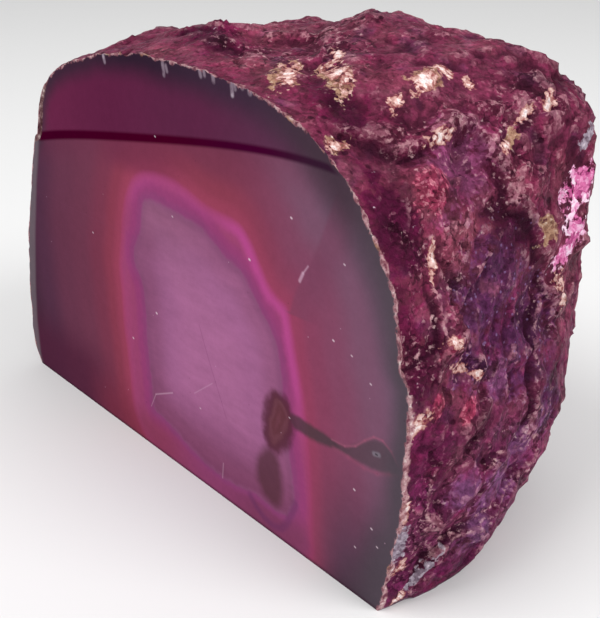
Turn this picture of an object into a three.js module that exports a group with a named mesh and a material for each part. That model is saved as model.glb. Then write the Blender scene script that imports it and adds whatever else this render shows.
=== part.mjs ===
// Agate block: part of a dyed agate nodule, sawn and polished flat in front and sawn flat underneath.
// Millimetres, +Z up. X runs right along the bottom edge of the polished face, Y runs back from it.
// The stone is one solid: the polished face, the sawn base and the rough rind are its three surfaces.
import * as THREE from 'three';
import { mergeVertices } from 'three/addons/utils/BufferGeometryUtils.js';

// Driving dimensions
const FACE_BOTTOM = 135; // straight bottom edge of the polished face
const HUB = FACE_BOTTOM / 2; // the rind is measured outwards from this point of that edge
const RIND_RADIUS = 95; // mean distance from the hub to the rind, the scale of the unrolled rind

// The whole nodule before it was sawn: a squarish ball, with its centre behind the polished face
const NODULE = { x: 65, y: 28, z: 42, right: 72.5, left: 72, back: 51, up: 56, squareness: 4.1 };

// Rim of the polished face as (x, z), from the right-hand corner over the top to the left-hand corner
const RIM = [
  [135, 0], [137.5, 10.5], [139.8, 26], [140.2, 38], [138.5, 52.5], [134.8, 66], [129, 77.2],
  [120.5, 85.2], [109, 90], [96, 93.2], [77, 93.8], [55, 93], [38, 90.2], [25, 85.8], [17, 79.7], [12.8, 71],
  [6, 55], [0, 34.5], [-2.8, 18], [-3.2, 6], [0, 0],
];

// Outline of the sawn base as (x, y), from the right-hand corner round the back to the left-hand one
const FOOT = [
  [135, 0], [136.5, 6], [138, 13], [136.5, 25], [130, 39], [122.5, 53], [107.5, 66], [85, 71],
  [60, 73], [35, 71], [14, 61], [1, 42], [-3, 20], [0, 0],
];

// Broad swells and dips of the nodule: a point that they face, their half angle in degrees, their height
const SWELLS = [
  { towards: [25, 40, 92], spread: 20, height: -3.4 },
  { towards: [75, 55, 98], spread: 16, height: 1 },
  { towards: [135, 50, 80], spread: 18, height: 4.8 },
  { towards: [100, 60, 95], spread: 14, height: 3.5 },
  { towards: [132, 55, 30], spread: 18, height: 2.8 },
  { towards: [50, 20, 95], spread: 14, height: 4.9 },
  { towards: [5, 25, 85], spread: 14, height: 2.2 },
  { towards: [134, 50, 25], spread: 9, height: 1.2 },
  { towards: [85, 75, 94], spread: 9, height: -2.3 },
  { towards: [40, 85, 60], spread: 15, height: 2.5 },
  { towards: [95, 85, 45], spread: 16, height: -2.2 },
  { towards: [-8, 45, 50], spread: 14, height: 2 },
  { towards: [12, 35, 90], spread: 10, height: 2.5 },
  { towards: [60, 70, 97], spread: 9, height: -1.5 },
  { towards: [0, 12, 70], spread: 8, height: 1.8 },
  { towards: [138, 45, 58], spread: 8, height: -1.6 },
];

// Lumps and pits at (u, v) on the unrolled rind, with their two radii, the angle of the longer in
// degrees and their height, which is negative for a pit
const LUMPS = [
  { at: [86, -46], size: [6, 4.5], angle: 20, height: 2 },
  { at: [61, -33], size: [5, 4], angle: 70, height: 1.9 },
  { at: [57, -23], size: [4.5, 3.5], angle: 20, height: 1.6 },
  { at: [49, -19], size: [4.5, 4], angle: 0, height: 1.7 },
  { at: [50, -34], size: [4, 3], angle: 40, height: 1.2 },
  { at: [29, -8], size: [7.5, 4.5], angle: 15, height: 1.8 },
  { at: [95, -42], size: [4, 3], angle: 50, height: 1.8 },
  { at: [98, -23], size: [4, 4], angle: 0, height: 1.3 },
  { at: [119, -62], size: [5, 3.5], angle: 10, height: 1.3 },
  { at: [114, -53], size: [6, 4], angle: 30, height: 1.5 },
  { at: [107, -42], size: [4.5, 3.5], angle: 40, height: 1.2 },
  { at: [74, -7], size: [4, 3], angle: 80, height: 1.8 },
  { at: [136, -34], size: [9, 6.5], angle: 60, height: 3 },
  { at: [152, -42], size: [8, 5], angle: 110, height: 1.2 },
  { at: [179, -51], size: [8, 6], angle: 20, height: 1 },
  { at: [107, -15], size: [6, 5], angle: 60, height: 1.4 },
  { at: [61, 27], size: [9, 6], angle: 20, height: -1.7 },
  { at: [165, -22], size: [10, 7], angle: 20, height: 2 },
  { at: [205, 5], size: [11, 8], angle: 140, height: 2.2 },
  { at: [120, 20], size: [10, 7], angle: 75, height: 2 },
  { at: [160, 35], size: [9, 7], angle: 10, height: 1.8 },
  { at: [104, -57], size: [7, 4.5], angle: 20, height: -1.8 },
  { at: [79, -9], size: [3.5, 2.5], angle: 0, height: -2 },
  { at: [88, -13], size: [6, 4], angle: 100, height: -1.4 },
  { at: [99, -30], size: [3, 2.5], angle: 0, height: -1.8 },
  { at: [85, -20], size: [3, 2.5], angle: 0, height: -1.6 },
  { at: [66, -18], size: [8, 5], angle: 60, height: -1.5 },
  { at: [142, 5], size: [9, 5], angle: 30, height: -2 },
  { at: [185, 25], size: [7, 5], angle: 80, height: -1.9 },
  { at: [225, -15], size: [8, 5], angle: 120, height: -1.8 },
];

// Ledges: a line on the unrolled rind. The rind drops by `drop` on the line's right-hand side, over
// `lip`, and climbs back over `reach`.
const LEDGES = [
  {
    line: [[100, -58], [94, -50], [94, -44], [95, -39], [94, -36], [89, -32], [83, -27], [80, -20],
      [78, -14], [74, -6]],
    drop: 2.6, lip: 2, reach: 17,
  },
  { line: [[70, -42], [62, -38], [60, -44]], drop: 1.3, lip: 1.6, reach: 8 },
  { line: [[72, -10], [66, -7], [60, -2], [52, 3]], drop: 1.6, lip: 1.6, reach: 9 },
  { line: [[46, 12], [38, 9], [29, 3], [20, -3], [12, 0]], drop: 1.5, lip: 1.6, reach: 8 },
  { line: [[150, 45], [138, 30], [120, 8], [112, -5]], drop: 2.2, lip: 2, reach: 18 },
  { line: [[215, -35], [200, -18], [190, 5], [196, 25]], drop: 2, lip: 2, reach: 16 },
];
const LEDGE_FADE = 5; // distance over which a ledge dies out past the ends of its line
const LEDGE_WANDER = 1.1; // how far the ragged noise moves a ledge's edge to either side

// Rough grain of the rind: soft lumps in layers, each with its size and height
const GRAIN = [
  { size: 27, height: 1.2, seed: 11 },
  { size: 13, height: 0.7, seed: 23 },
  { size: 7, height: 0.4, seed: 37 },
];
// Small ragged noise that breaks up the edges of ledges, facets and terraces
const RAGGED = [
  { size: 5, height: 1, seed: 41 },
  { size: 2.4, height: 0.5, seed: 43 },
];
const FACETS = { size: 12, tilt: 0.13, step: 0.25, seed: 5, edge: 1.6, wander: 1.2 };
const TERRACES = { size: 16, levels: 4, rise: 0.55, seed: 61, wander: 0.05, scarp: 0.35 };
// Where the rind is broken into blocks the facets stand prouder: a patch on the unrolled rind
const BROKEN = { at: [92, -22], radius: 17, gain: 1.2 };

const SLICES = { turn: 92, tilt: 44 }; // steps of the mesh from corner to corner, and from rim to base
const CALM_EDGE = { depth: 11, share: 0.4 }; // within 11 degrees of a cut the relief fades to 0.4
const CALM_CORNER = 9; // degrees within which the relief fades to nothing at the two bottom corners
const SWELL_FADE = { cut: 0.5, corner: 0.3 }; // how soon the swells reach full height away from the cuts
const SEARCH = { from: 5, to: 260, halvings: 34 }; // distances searched for the nodule's surface
const LUMP_POWER = 1.5; // how square the shoulders of a lump are
const SEEDS_APART = 100; // seeds of the three directions in which the facets' borders wander
const LEAN_SEED = 10; // added to the facets' seed for their tilt
const STEP_SEED = 20; // and for their height

const radians = THREE.MathUtils.degToRad;
const smooth = (t) => THREE.MathUtils.smoothstep(t, 0, 1);

// An outline turned into angle and radius about the hub, from 0 at the right to PI at the left
function polarKnots(outline) {
  const knots = outline.map(([x, height]) => ({
    angle: Math.atan2(height, x - HUB),
    radius: Math.hypot(height, x - HUB),
  }));
  knots[0].angle = 0;
  knots[knots.length - 1].angle = Math.PI;
  return knots.map((knot, i) => {
    const before = knots[Math.max(i - 1, 0)];
    const after = knots[Math.min(i + 1, knots.length - 1)];
    return { ...knot, slope: (after.radius - before.radius) / (after.angle - before.angle) };
  });
}

// Radius of an outline at an angle: a smooth cubic through its knots
function outlineRadius(knots, angle) {
  let i = 0;
  while (i < knots.length - 2 && angle >= knots[i + 1].angle) i += 1;
  const from = knots[i];
  const to = knots[i + 1];
  const span = to.angle - from.angle;
  const t = (angle - from.angle) / span;
  const t2 = t * t;
  const t3 = t2 * t;
  return (2 * t3 - 3 * t2 + 1) * from.radius + (t3 - 2 * t2 + t) * span * from.slope
    + (3 * t2 - 2 * t3) * to.radius + (t3 - t2) * span * to.slope;
}

const rimKnots = polarKnots(RIM);
const footKnots = polarKnots(FOOT);

// The direction from the hub: turn runs from the right corner to the left, tilt from the face to the base
function direction(turn, tilt) {
  return new THREE.Vector3(
    Math.cos(turn),
    Math.sin(turn) * Math.sin(tilt),
    Math.sin(turn) * Math.cos(tilt),
  );
}

// Distance from the hub to the surface of the whole nodule, found by halving
function noduleRadius(ray) {
  let inside = SEARCH.from;
  let outside = SEARCH.to;
  for (let i = 0; i < SEARCH.halvings; i += 1) {
    const middle = (inside + outside) / 2;
    const x = HUB + ray.x * middle - NODULE.x;
    const y = ray.y * middle - NODULE.y;
    const z = ray.z * middle - NODULE.z;
    const reach = x > 0 ? NODULE.right : NODULE.left;
    const level = (Math.abs(x) / reach) ** NODULE.squareness
      + (Math.abs(y) / NODULE.back) ** NODULE.squareness
      + (Math.abs(z) / NODULE.up) ** NODULE.squareness;
    if (level < 1) inside = middle;
    else outside = middle;
  }
  return (inside + outside) / 2;
}

const swellAxes = SWELLS.map(({ towards: [x, y, z] }) => new THREE.Vector3(x - HUB, y, z).normalize());

// The nodule eased onto the two outlines, with its swells, before any rough relief
function bodyRadius(turn, tilt) {
  const ray = direction(turn, tilt);
  const atRim = outlineRadius(rimKnots, turn) / noduleRadius(direction(turn, 0));
  const atFoot = outlineRadius(footKnots, turn) / noduleRadius(direction(turn, Math.PI / 2));
  const ease = atRim * Math.cos(tilt) ** 2 + atFoot * Math.sin(tilt) ** 2;
  const away = smooth(Math.sin(2 * tilt) / SWELL_FADE.cut) * Math.min(1, Math.sin(turn) / SWELL_FADE.corner);
  const swell = SWELLS.reduce((sum, { spread, height }, i) => {
    const angle = ray.angleTo(swellAxes[i]);
    return sum + height * Math.exp(-((angle / radians(spread)) ** 2));
  }, 0);
  return noduleRadius(ray) * ease + swell * away;
}

// The rind unrolled flat: u along the block from the right corner, v from the rim side to the base side
function unroll(turn, tilt) {
  return [RIND_RADIUS * turn, RIND_RADIUS * (tilt - Math.PI / 4) * Math.sin(turn)];
}

// A fixed scatter of numbers between 0 and 1, one for each corner of a cubic lattice
function scatter(x, y, z, seed) {
  let h = Math.imul(x, 374761393) ^ Math.imul(y, 668265263) ^ Math.imul(z, 1274126177);
  h ^= Math.imul(seed, 974711);
  h = Math.imul(h ^ (h >>> 15), 2246822519);
  h = Math.imul(h ^ (h >>> 13), 3266489917);
  return ((h ^ (h >>> 16)) >>> 0) / 4294967295;
}

// Soft lumps: the scatter blended smoothly between the lattice's corners, from -1 to 1
function softLumps(point, size, seed) {
  const cell = point.map((c) => Math.floor(c / size));
  const part = point.map((c, i) => smooth(c / size - cell[i]));
  let sum = 0;
  for (let corner = 0; corner < 8; corner += 1) {
    const step = [corner & 1, (corner >> 1) & 1, (corner >> 2) & 1];
    const weight = step.reduce((w, s, i) => w * (s ? part[i] : 1 - part[i]), 1);
    sum += weight * scatter(cell[0] + step[0], cell[1] + step[1], cell[2] + step[2], seed);
  }
  return 2 * sum - 1;
}

function layers(point, list, shift = 0) {
  return list.reduce((sum, { size, height, seed }) => sum + height * softLumps(point, size, seed + shift), 0);
}

// Broken facets: each point takes the tilted plane of the nearest of a scatter of centres, and within
// `edge` of the border between two centres the two planes blend
function facets(point, { size, tilt, step, seed, edge }) {
  const cell = point.map((c) => Math.floor(c / size));
  let first = { distance: Infinity, height: 0 };
  let second = first;
  for (let i = -1; i <= 1; i += 1) {
    for (let j = -1; j <= 1; j += 1) {
      for (let k = -1; k <= 1; k += 1) {
        const at = [cell[0] + i, cell[1] + j, cell[2] + k];
        const away = at.map((c, n) => point[n] - (c + scatter(...at, seed + n)) * size);
        const distance = Math.hypot(...away);
        if (distance >= second.distance) continue;
        const lean = away.reduce((sum, c, n) => sum + c * (2 * scatter(...at, seed + LEAN_SEED + n) - 1), 0);
        const found = { distance, height: tilt * lean + step * (2 * scatter(...at, seed + STEP_SEED) - 1) };
        if (distance < first.distance) {
          second = first;
          first = found;
        } else {
          second = found;
        }
      }
    }
  }
  const own = 0.5 + 0.5 * smooth((second.distance - first.distance) / edge);
  return first.height * own + second.height * (1 - own);
}

// Terraces: soft lumps cut into level steps with short scarps between them
function terraces(point, ragged, { size, levels, rise, seed, wander, scarp }) {
  const level = levels * (0.5 + 0.5 * softLumps(point, size, seed) + wander * ragged);
  const base = Math.floor(level);
  return rise * (base + smooth((level - base - 0.5) / scarp + 0.5) - levels / 2);
}

function lumpHeight(u, v, { at, size, angle, height }) {
  const c = Math.cos(radians(angle));
  const s = Math.sin(radians(angle));
  const along = ((u - at[0]) * c + (v - at[1]) * s) / size[0];
  const across = ((v - at[1]) * c - (u - at[0]) * s) / size[1];
  return height * Math.exp(-((along * along + across * across) ** LUMP_POWER));
}

// Depth of a ledge at (u, v): the nearest stretch of its line gives the side and the distance
function ledgeHeight(u, v, ragged, { line, drop, lip, reach }) {
  let nearest = Infinity;
  let side = 0;
  for (let i = 0; i < line.length - 1; i += 1) {
    const [ax, ay] = line[i];
    const [bx, by] = line[i + 1];
    const length = Math.hypot(bx - ax, by - ay);
    const along = ((u - ax) * (bx - ax) + (v - ay) * (by - ay)) / (length * length);
    const t = Math.min(1, Math.max(0, along));
    const distance = Math.hypot(u - ax - t * (bx - ax), v - ay - t * (by - ay));
    if (distance < nearest - 1e-9) {
      nearest = distance;
      side = ((bx - ax) * (v - ay) - (by - ay) * (u - ax)) / length;
    }
  }
  const pastEnd = Math.sqrt(Math.max(nearest * nearest - side * side, 0));
  const below = side + LEDGE_WANDER * ragged;
  const depth = smooth(below / lip + 0.5) * Math.exp(-((Math.max(below, 0) / reach) ** 2));
  return -drop * depth * Math.exp(-((pastEnd / LEDGE_FADE) ** 2));
}

// All the rough relief of the rind at one place, measured outwards from the hub
function relief(turn, tilt, radius) {
  const [u, v] = unroll(turn, tilt);
  const point = direction(turn, tilt).multiplyScalar(radius).toArray();
  const ragged = layers(point, RAGGED);
  const wandered = point.map((c, i) => c + FACETS.wander * layers(point, RAGGED, SEEDS_APART * (i + 1)));
  const broken = Math.exp(-(((u - BROKEN.at[0]) ** 2 + (v - BROKEN.at[1]) ** 2) / BROKEN.radius ** 2));
  const blocky = facets(wandered, FACETS) * (1 + BROKEN.gain * broken) + terraces(point, ragged, TERRACES);
  const lumps = LUMPS.reduce((sum, lump) => sum + lumpHeight(u, v, lump), 0);
  const ledges = LEDGES.reduce((sum, ledge) => sum + ledgeHeight(u, v, ragged, ledge), 0);
  const fromCut = Math.min(tilt, Math.PI / 2 - tilt) / radians(CALM_EDGE.depth);
  const calm = CALM_EDGE.share + (1 - CALM_EDGE.share) * smooth(fromCut);
  const fromCorner = Math.min(turn, Math.PI - turn) / radians(CALM_CORNER);
  return (layers(point, GRAIN) + blocky + lumps + ledges) * calm * smooth(fromCorner);
}

function rindPoint(turn, tilt) {
  const radius = bodyRadius(turn, tilt);
  const point = direction(turn, tilt).multiplyScalar(radius + relief(turn, tilt, radius));
  point.x += HUB;
  if (tilt === 0) point.y = 0;
  if (tilt === Math.PI / 2) point.z = 0;
  return point;
}

// One closed body: the rind as a grid from rim to base, closed by the flat face and the flat base,
// which both fan out from the hub on the edge that they share
function blockGeometry() {
  const positions = [];
  const triangles = [];
  const row = SLICES.tilt + 1;
  for (let i = 0; i <= SLICES.turn; i += 1) {
    const turn = (Math.PI * i) / SLICES.turn;
    for (let j = 0; j <= SLICES.tilt; j += 1) {
      const tilt = j === SLICES.tilt ? Math.PI / 2 : (Math.PI / 2) * (j / SLICES.tilt);
      const corner = i === 0 || i === SLICES.turn;
      const point = corner ? new THREE.Vector3(i === 0 ? FACE_BOTTOM : 0, 0, 0) : rindPoint(turn, tilt);
      positions.push(...point.toArray());
    }
  }
  const hub = positions.length / 3;
  positions.push(HUB, 0, 0);
  for (let i = 0; i < SLICES.turn; i += 1) {
    for (let j = 0; j < SLICES.tilt; j += 1) {
      const a = i * row + j;
      const b = a + row;
      if (i > 0) triangles.push(a, a + 1, b + 1);
      if (i < SLICES.turn - 1) triangles.push(a, b + 1, b);
    }
    triangles.push(hub, i * row, (i + 1) * row);
    triangles.push(hub, (i + 1) * row + SLICES.tilt, i * row + SLICES.tilt);
  }
  const geometry = new THREE.BufferGeometry();
  geometry.setAttribute('position', new THREE.Float32BufferAttribute(positions, 3));
  geometry.setIndex(triangles);
  return mergeVertices(geometry, 1e-4);
}

// Stand the block on its base with the middle of its footprint box at the origin
function centreOnBase(geometry) {
  geometry.computeBoundingBox();
  const { min, max } = geometry.boundingBox;
  geometry.translate(-(min.x + max.x) / 2, -(min.y + max.y) / 2, -min.z);
  geometry.computeVertexNormals();
  return geometry;
}

const agateBlock = new THREE.Mesh(
  centreOnBase(blockGeometry()),
  new THREE.MeshStandardMaterial({ color: 0x5e2446, roughness: 0.8, metalness: 0 }),
);
agateBlock.name = 'agate_block';

const agate = new THREE.Group();
agate.add(agateBlock);

export default agate;
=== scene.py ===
"""A block of dyed agate: a polished face, a sawn base and a rough rind, standing on its base."""
import math

import bpy
import numpy as np
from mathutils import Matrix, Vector
from mathutils.geometry import delaunay_2d_cdt


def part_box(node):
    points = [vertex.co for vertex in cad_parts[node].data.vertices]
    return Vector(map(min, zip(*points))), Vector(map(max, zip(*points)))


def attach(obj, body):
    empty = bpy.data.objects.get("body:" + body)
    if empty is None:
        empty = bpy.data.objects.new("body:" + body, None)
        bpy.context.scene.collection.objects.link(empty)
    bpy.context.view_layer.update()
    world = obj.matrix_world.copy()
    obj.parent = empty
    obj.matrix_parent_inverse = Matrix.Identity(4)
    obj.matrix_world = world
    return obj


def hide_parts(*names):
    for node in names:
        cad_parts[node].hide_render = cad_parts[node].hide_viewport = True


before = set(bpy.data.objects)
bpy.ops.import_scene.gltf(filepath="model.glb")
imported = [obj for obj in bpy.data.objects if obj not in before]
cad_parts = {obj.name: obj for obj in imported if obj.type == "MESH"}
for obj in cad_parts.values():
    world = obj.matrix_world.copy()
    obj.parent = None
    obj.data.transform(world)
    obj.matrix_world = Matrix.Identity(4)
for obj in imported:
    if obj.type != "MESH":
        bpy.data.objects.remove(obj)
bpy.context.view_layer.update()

# Sizes are in millimetres in the cut frame: its origin is the bottom left corner of the polished face,
# x runs right along the face, y back from it and z up.
MM = 0.001
FACE_BOTTOM = 135.0  # straight bottom edge of the polished face
HUB = FACE_BOTTOM / 2  # the rind is measured outwards from this point of that edge
RIND_RADIUS = 95.0  # mean distance from the hub to the rind, the scale of the unrolled rind

# The whole nodule before it was sawn: a squarish ball, with its centre behind the polished face
NODULE = {"x": 65, "y": 28, "z": 42, "right": 72.5, "left": 72, "back": 51, "up": 56, "squareness": 4.1}

# Rim of the polished face as (x, z), from the right-hand corner over the top to the left-hand corner
RIM = [
    (135, 0), (137.5, 10.5), (139.8, 26), (140.2, 38), (138.5, 52.5), (134.8, 66), (129, 77.2),
    (120.5, 85.2), (109, 90), (96, 93.2), (77, 93.8), (55, 93), (38, 90.2), (25, 85.8), (17, 79.7),
    (12.8, 71), (6, 55), (0, 34.5), (-2.8, 18), (-3.2, 6), (0, 0),
]

# Outline of the sawn base as (x, y), from the right-hand corner round the back to the left-hand one
FOOT = [
    (135, 0), (136.5, 6), (138, 13), (136.5, 25), (130, 39), (122.5, 53), (107.5, 66), (85, 71),
    (60, 73), (35, 71), (14, 61), (1, 42), (-3, 20), (0, 0),
]

# Broad swells and dips of the nodule: a point that they face, their half angle in degrees, their height
SWELLS = [
    ((25, 40, 92), 20, -3.4), ((75, 55, 98), 16, 1), ((135, 50, 80), 18, 4.8), ((100, 60, 95), 14, 3.5),
    ((132, 55, 30), 18, 2.8), ((50, 20, 95), 14, 4.9), ((5, 25, 85), 14, 2.2), ((134, 50, 25), 9, 1.2),
    ((85, 75, 94), 9, -2.3), ((40, 85, 60), 15, 2.5), ((95, 85, 45), 16, -2.2), ((-8, 45, 50), 14, 2),
    ((12, 35, 90), 10, 2.5), ((60, 70, 97), 9, -1.5), ((0, 12, 70), 8, 1.8), ((138, 45, 58), 8, -1.6),
]
SWELL_FADE = {"cut": 0.5, "corner": 0.3}  # how soon the swells reach full height away from the cuts

# Lumps and pits at (u, v) on the unrolled rind: place, two radii, angle in degrees, height
LUMPS = [
    ((86, -46), (6, 4.5), 20, 2), ((61, -33), (5, 4), 70, 1.9), ((57, -23), (4.5, 3.5), 20, 1.6),
    ((49, -19), (4.5, 4), 0, 1.7), ((50, -34), (4, 3), 40, 1.2), ((29, -8), (7.5, 4.5), 15, 1.8),
    ((95, -42), (4, 3), 50, 1.8), ((98, -23), (4, 4), 0, 1.3), ((119, -62), (5, 3.5), 10, 1.3),
    ((114, -53), (6, 4), 30, 1.5), ((107, -42), (4.5, 3.5), 40, 1.2), ((74, -7), (4, 3), 80, 1.8),
    ((136, -34), (9, 6.5), 60, 3), ((152, -42), (8, 5), 110, 1.2), ((179, -51), (8, 6), 20, 1),
    ((107, -15), (6, 5), 60, 1.4), ((61, 27), (9, 6), 20, -1.7), ((165, -22), (10, 7), 20, 2),
    ((205, 5), (11, 8), 140, 2.2), ((120, 20), (10, 7), 75, 2), ((160, 35), (9, 7), 10, 1.8),
    ((104, -57), (7, 4.5), 20, -1.8), ((79, -9), (3.5, 2.5), 0, -2), ((88, -13), (6, 4), 100, -1.4),
    ((99, -30), (3, 2.5), 0, -1.8), ((85, -20), (3, 2.5), 0, -1.6), ((66, -18), (8, 5), 60, -1.5),
    ((142, 5), (9, 5), 30, -2), ((185, 25), (7, 5), 80, -1.9), ((225, -15), (8, 5), 120, -1.8),
    ((136, -35), (5, 4), 0, -1.4),
]
LUMP_POWER = 1.5  # how square the shoulders of a lump are

# Ledges: the rind drops by a height on the right-hand side of a line, over a lip, and climbs back
LEDGES = [
    ([(100, -58), (94, -50), (94, -44), (95, -39), (94, -36), (89, -32), (83, -27), (80, -20),
      (78, -14), (74, -6)], 2.6, 2, 17),
    ([(70, -42), (62, -38), (60, -44)], 1.3, 1.6, 8),
    ([(72, -10), (66, -7), (60, -2), (52, 3)], 1.6, 1.6, 9),
    ([(46, 12), (38, 9), (29, 3), (20, -3), (12, 0)], 1.5, 1.6, 8),
    ([(150, 45), (138, 30), (120, 8), (112, -5)], 2.2, 2, 18),
    ([(215, -35), (200, -18), (190, 5), (196, 25)], 2, 2, 16),
]
LEDGE_FADE = 5  # distance over which a ledge dies out past the ends of its line
LEDGE_WANDER = 1.1  # how far the ragged noise moves a ledge's edge to either side
LEDGE_CRISP = 0.65  # the lips are this much narrower than listed, for a crisp edge

GRAIN = [(27, 1.2, 11), (13, 0.7, 23), (7, 0.4, 37)]  # soft lumps in layers: size, height, seed
RAGGED = [(5, 1.0, 41), (2.4, 0.5, 43)]  # small ragged noise that breaks up edges
FACETS = {"size": 12, "tilt": 0.13, "step": 0.25, "seed": 5, "edge": 0.8}
FACET_WANDER = 1.2  # how far the borders of the facets wander
TERRACES = {"size": 16, "levels": 4, "rise": 0.55, "seed": 61, "wander": 0.05, "scarp": 0.22}
BROKEN = {"at": (92, -22), "radius": 17, "gain": 1.2}  # a patch broken into blocks, on the unrolled rind
CALM_EDGE = {"depth": 11, "share": 0.4}  # within 11 degrees of a cut the relief fades to 0.4
CALM_CORNER = 9  # degrees within which the relief fades to nothing at the two bottom corners
SEARCH = {"from": 5.0, "to": 260.0, "halvings": 34}  # distances searched for the nodule's surface
# Steps between the seeds of the noises that need more than one
SEEDS_APART = 100
LEAN_SEED = 10
STEP_SEED = 20

# Finer relief that the rind has on top of its main forms
FINE_GRAIN = [(3.6, 0.1, 71), (2.1, 0.08, 73)]
CHIPS = {"size": 4.6, "tilt": 0.17, "step": 0.16, "seed": 81, "edge": 0.4}
CHIPS_WANDER = 0.5  # how far the borders of the chips wander
CLEAN_BREAK = {"share": 0.4, "blend": 0.5}  # the share of it that is missing in the violet zones

SLICES = {"turn": 370, "tilt": 184}  # steps of the rind's mesh from corner to corner, from rim to base
FACE_STEP = 0.75  # size of the triangles on the polished face
BASE_STEP = 5.0  # size of the triangles on the sawn base
EDGE_CLEAR = 0.55  # the inner points of a cut keep this many steps away from its outline
NEAR_EDGE = 0.01  # points as near as this to an edge lie on it
MERGE = 1e-7  # points closer than this are one
TOUCH = 1e-9  # distances closer than this are the same
ROUND_STEPS = 4  # points between two knots of a rounded line
BAND_CURVE = 4  # degree of the curve through the dark band's points

SHEET = 300.0  # side of the square that the three surfaces are laid out on, for the texture map
SHEET_GAP = 2.0  # free space between them
SHEET_EDGE = 3.0  # free space beside the polished face
RIM_STRIDE = 5  # the distance to the rim is measured to every fifth point of it
POLISHED, RIND, SAWN = range(3)


def smooth(t):
    t = np.clip(t, 0, 1)
    return t * t * (3 - 2 * t)


def polar_knots(outline):
    """An outline as angles and radii about the hub, from 0 at the right to pi at the left."""
    points = np.array(outline, float)
    angles = np.arctan2(points[:, 1], points[:, 0] - HUB)
    radii = np.hypot(points[:, 1], points[:, 0] - HUB)
    angles[0], angles[-1] = 0.0, math.pi
    places = np.arange(len(angles))
    before = np.maximum(places - 1, 0)
    after = np.minimum(places + 1, len(angles) - 1)
    return angles, radii, (radii[after] - radii[before]) / (angles[after] - angles[before])


def outline_radius(knots, angle):
    """Radius of an outline at an angle: a smooth cubic through its knots."""
    angles, radii, slopes = knots
    i = np.clip(np.searchsorted(angles, angle, side="right") - 1, 0, len(angles) - 2)
    span = angles[i + 1] - angles[i]
    t = (angle - angles[i]) / span
    start = (2 * t**3 - 3 * t**2 + 1) * radii[i] + (t**3 - 2 * t**2 + t) * span * slopes[i]
    return start + (3 * t**2 - 2 * t**3) * radii[i + 1] + (t**3 - t**2) * span * slopes[i + 1]


def direction(turn, tilt):
    """Turn runs from the right corner to the left, tilt from the polished face to the base."""
    return np.stack((np.cos(turn), np.sin(turn) * np.sin(tilt), np.sin(turn) * np.cos(tilt)), -1)


def nodule_radius(ray):
    """Distance from the hub to the surface of the whole nodule, found by halving."""
    inside = np.full(ray.shape[:-1], SEARCH["from"])
    outside = np.full(ray.shape[:-1], SEARCH["to"])
    power = NODULE["squareness"]
    for _ in range(SEARCH["halvings"]):
        middle = (inside + outside) / 2
        x = HUB + ray[..., 0] * middle - NODULE["x"]
        y = ray[..., 1] * middle - NODULE["y"]
        z = ray[..., 2] * middle - NODULE["z"]
        reach = np.where(x > 0, NODULE["right"], NODULE["left"])
        level = (abs(x) / reach) ** power + (abs(y) / NODULE["back"]) ** power
        level += (abs(z) / NODULE["up"]) ** power
        inside = np.where(level < 1, middle, inside)
        outside = np.where(level < 1, outside, middle)
    return (inside + outside) / 2


def body_radius(turn, tilt):
    """The nodule eased onto the two outlines, with its swells, before any rough relief."""
    ray = direction(turn, tilt)
    at_rim, at_foot = (
        outline_radius(polar_knots(outline), turn) / nodule_radius(direction(turn, 0 * turn + angle))
        for outline, angle in ((RIM, 0), (FOOT, math.pi / 2))
    )
    ease = at_rim * np.cos(tilt) ** 2 + at_foot * np.sin(tilt) ** 2
    away = smooth(np.sin(2 * tilt) / SWELL_FADE["cut"])
    away = away * np.minimum(1, np.sin(turn) / SWELL_FADE["corner"])
    swell = 0
    for (x, y, z), spread, height in SWELLS:
        axis = np.array((x - HUB, y, z), float)
        angle = np.arccos(np.clip(ray @ (axis / np.linalg.norm(axis)), -1, 1))
        swell = swell + height * np.exp(-((angle / math.radians(spread)) ** 2))
    return nodule_radius(ray) * ease + swell * away


def unroll(turn, tilt):
    """The rind unrolled flat: u runs from the right corner to the left, v from the rim to the base."""
    return RIND_RADIUS * turn, RIND_RADIUS * (tilt - math.pi / 4) * np.sin(turn)


def scatter(cell, seed):
    """A fixed scatter of numbers between 0 and 1, one for each corner of a cubic lattice."""
    x, y, z = (cell[..., i].astype(np.int64).astype(np.uint32) for i in range(3))
    h = (x * np.uint32(374761393)) ^ (y * np.uint32(668265263)) ^ (z * np.uint32(1274126177))
    h ^= np.uint32((seed * 974711) & 0xFFFFFFFF)
    h = (h ^ (h >> np.uint32(15))) * np.uint32(2246822519)
    h = (h ^ (h >> np.uint32(13))) * np.uint32(3266489917)
    return (h ^ (h >> np.uint32(16))) / 4294967295.0


def soft_lumps(points, size, seed):
    """The scatter blended smoothly between the lattice's corners, from -1 to 1."""
    cell = np.floor(points / size)
    part = smooth(points / size - cell)
    total = 0
    for corner in range(8):
        step = np.array((corner & 1, (corner >> 1) & 1, (corner >> 2) & 1))
        weight = np.prod(np.where(step, part, 1 - part), axis=-1)
        total = total + weight * scatter(cell + step, seed)
    return 2 * total - 1


def layers(points, kinds, shift=0):
    return sum(height * soft_lumps(points, size, seed + shift) for size, height, seed in kinds)


def wandered(points, reach):
    """The points moved about by the ragged noise, so that borders drawn at them wander."""
    moves = [layers(points, RAGGED, SEEDS_APART * (i + 1)) for i in range(3)]
    return points + reach * np.stack(moves, -1)


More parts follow.
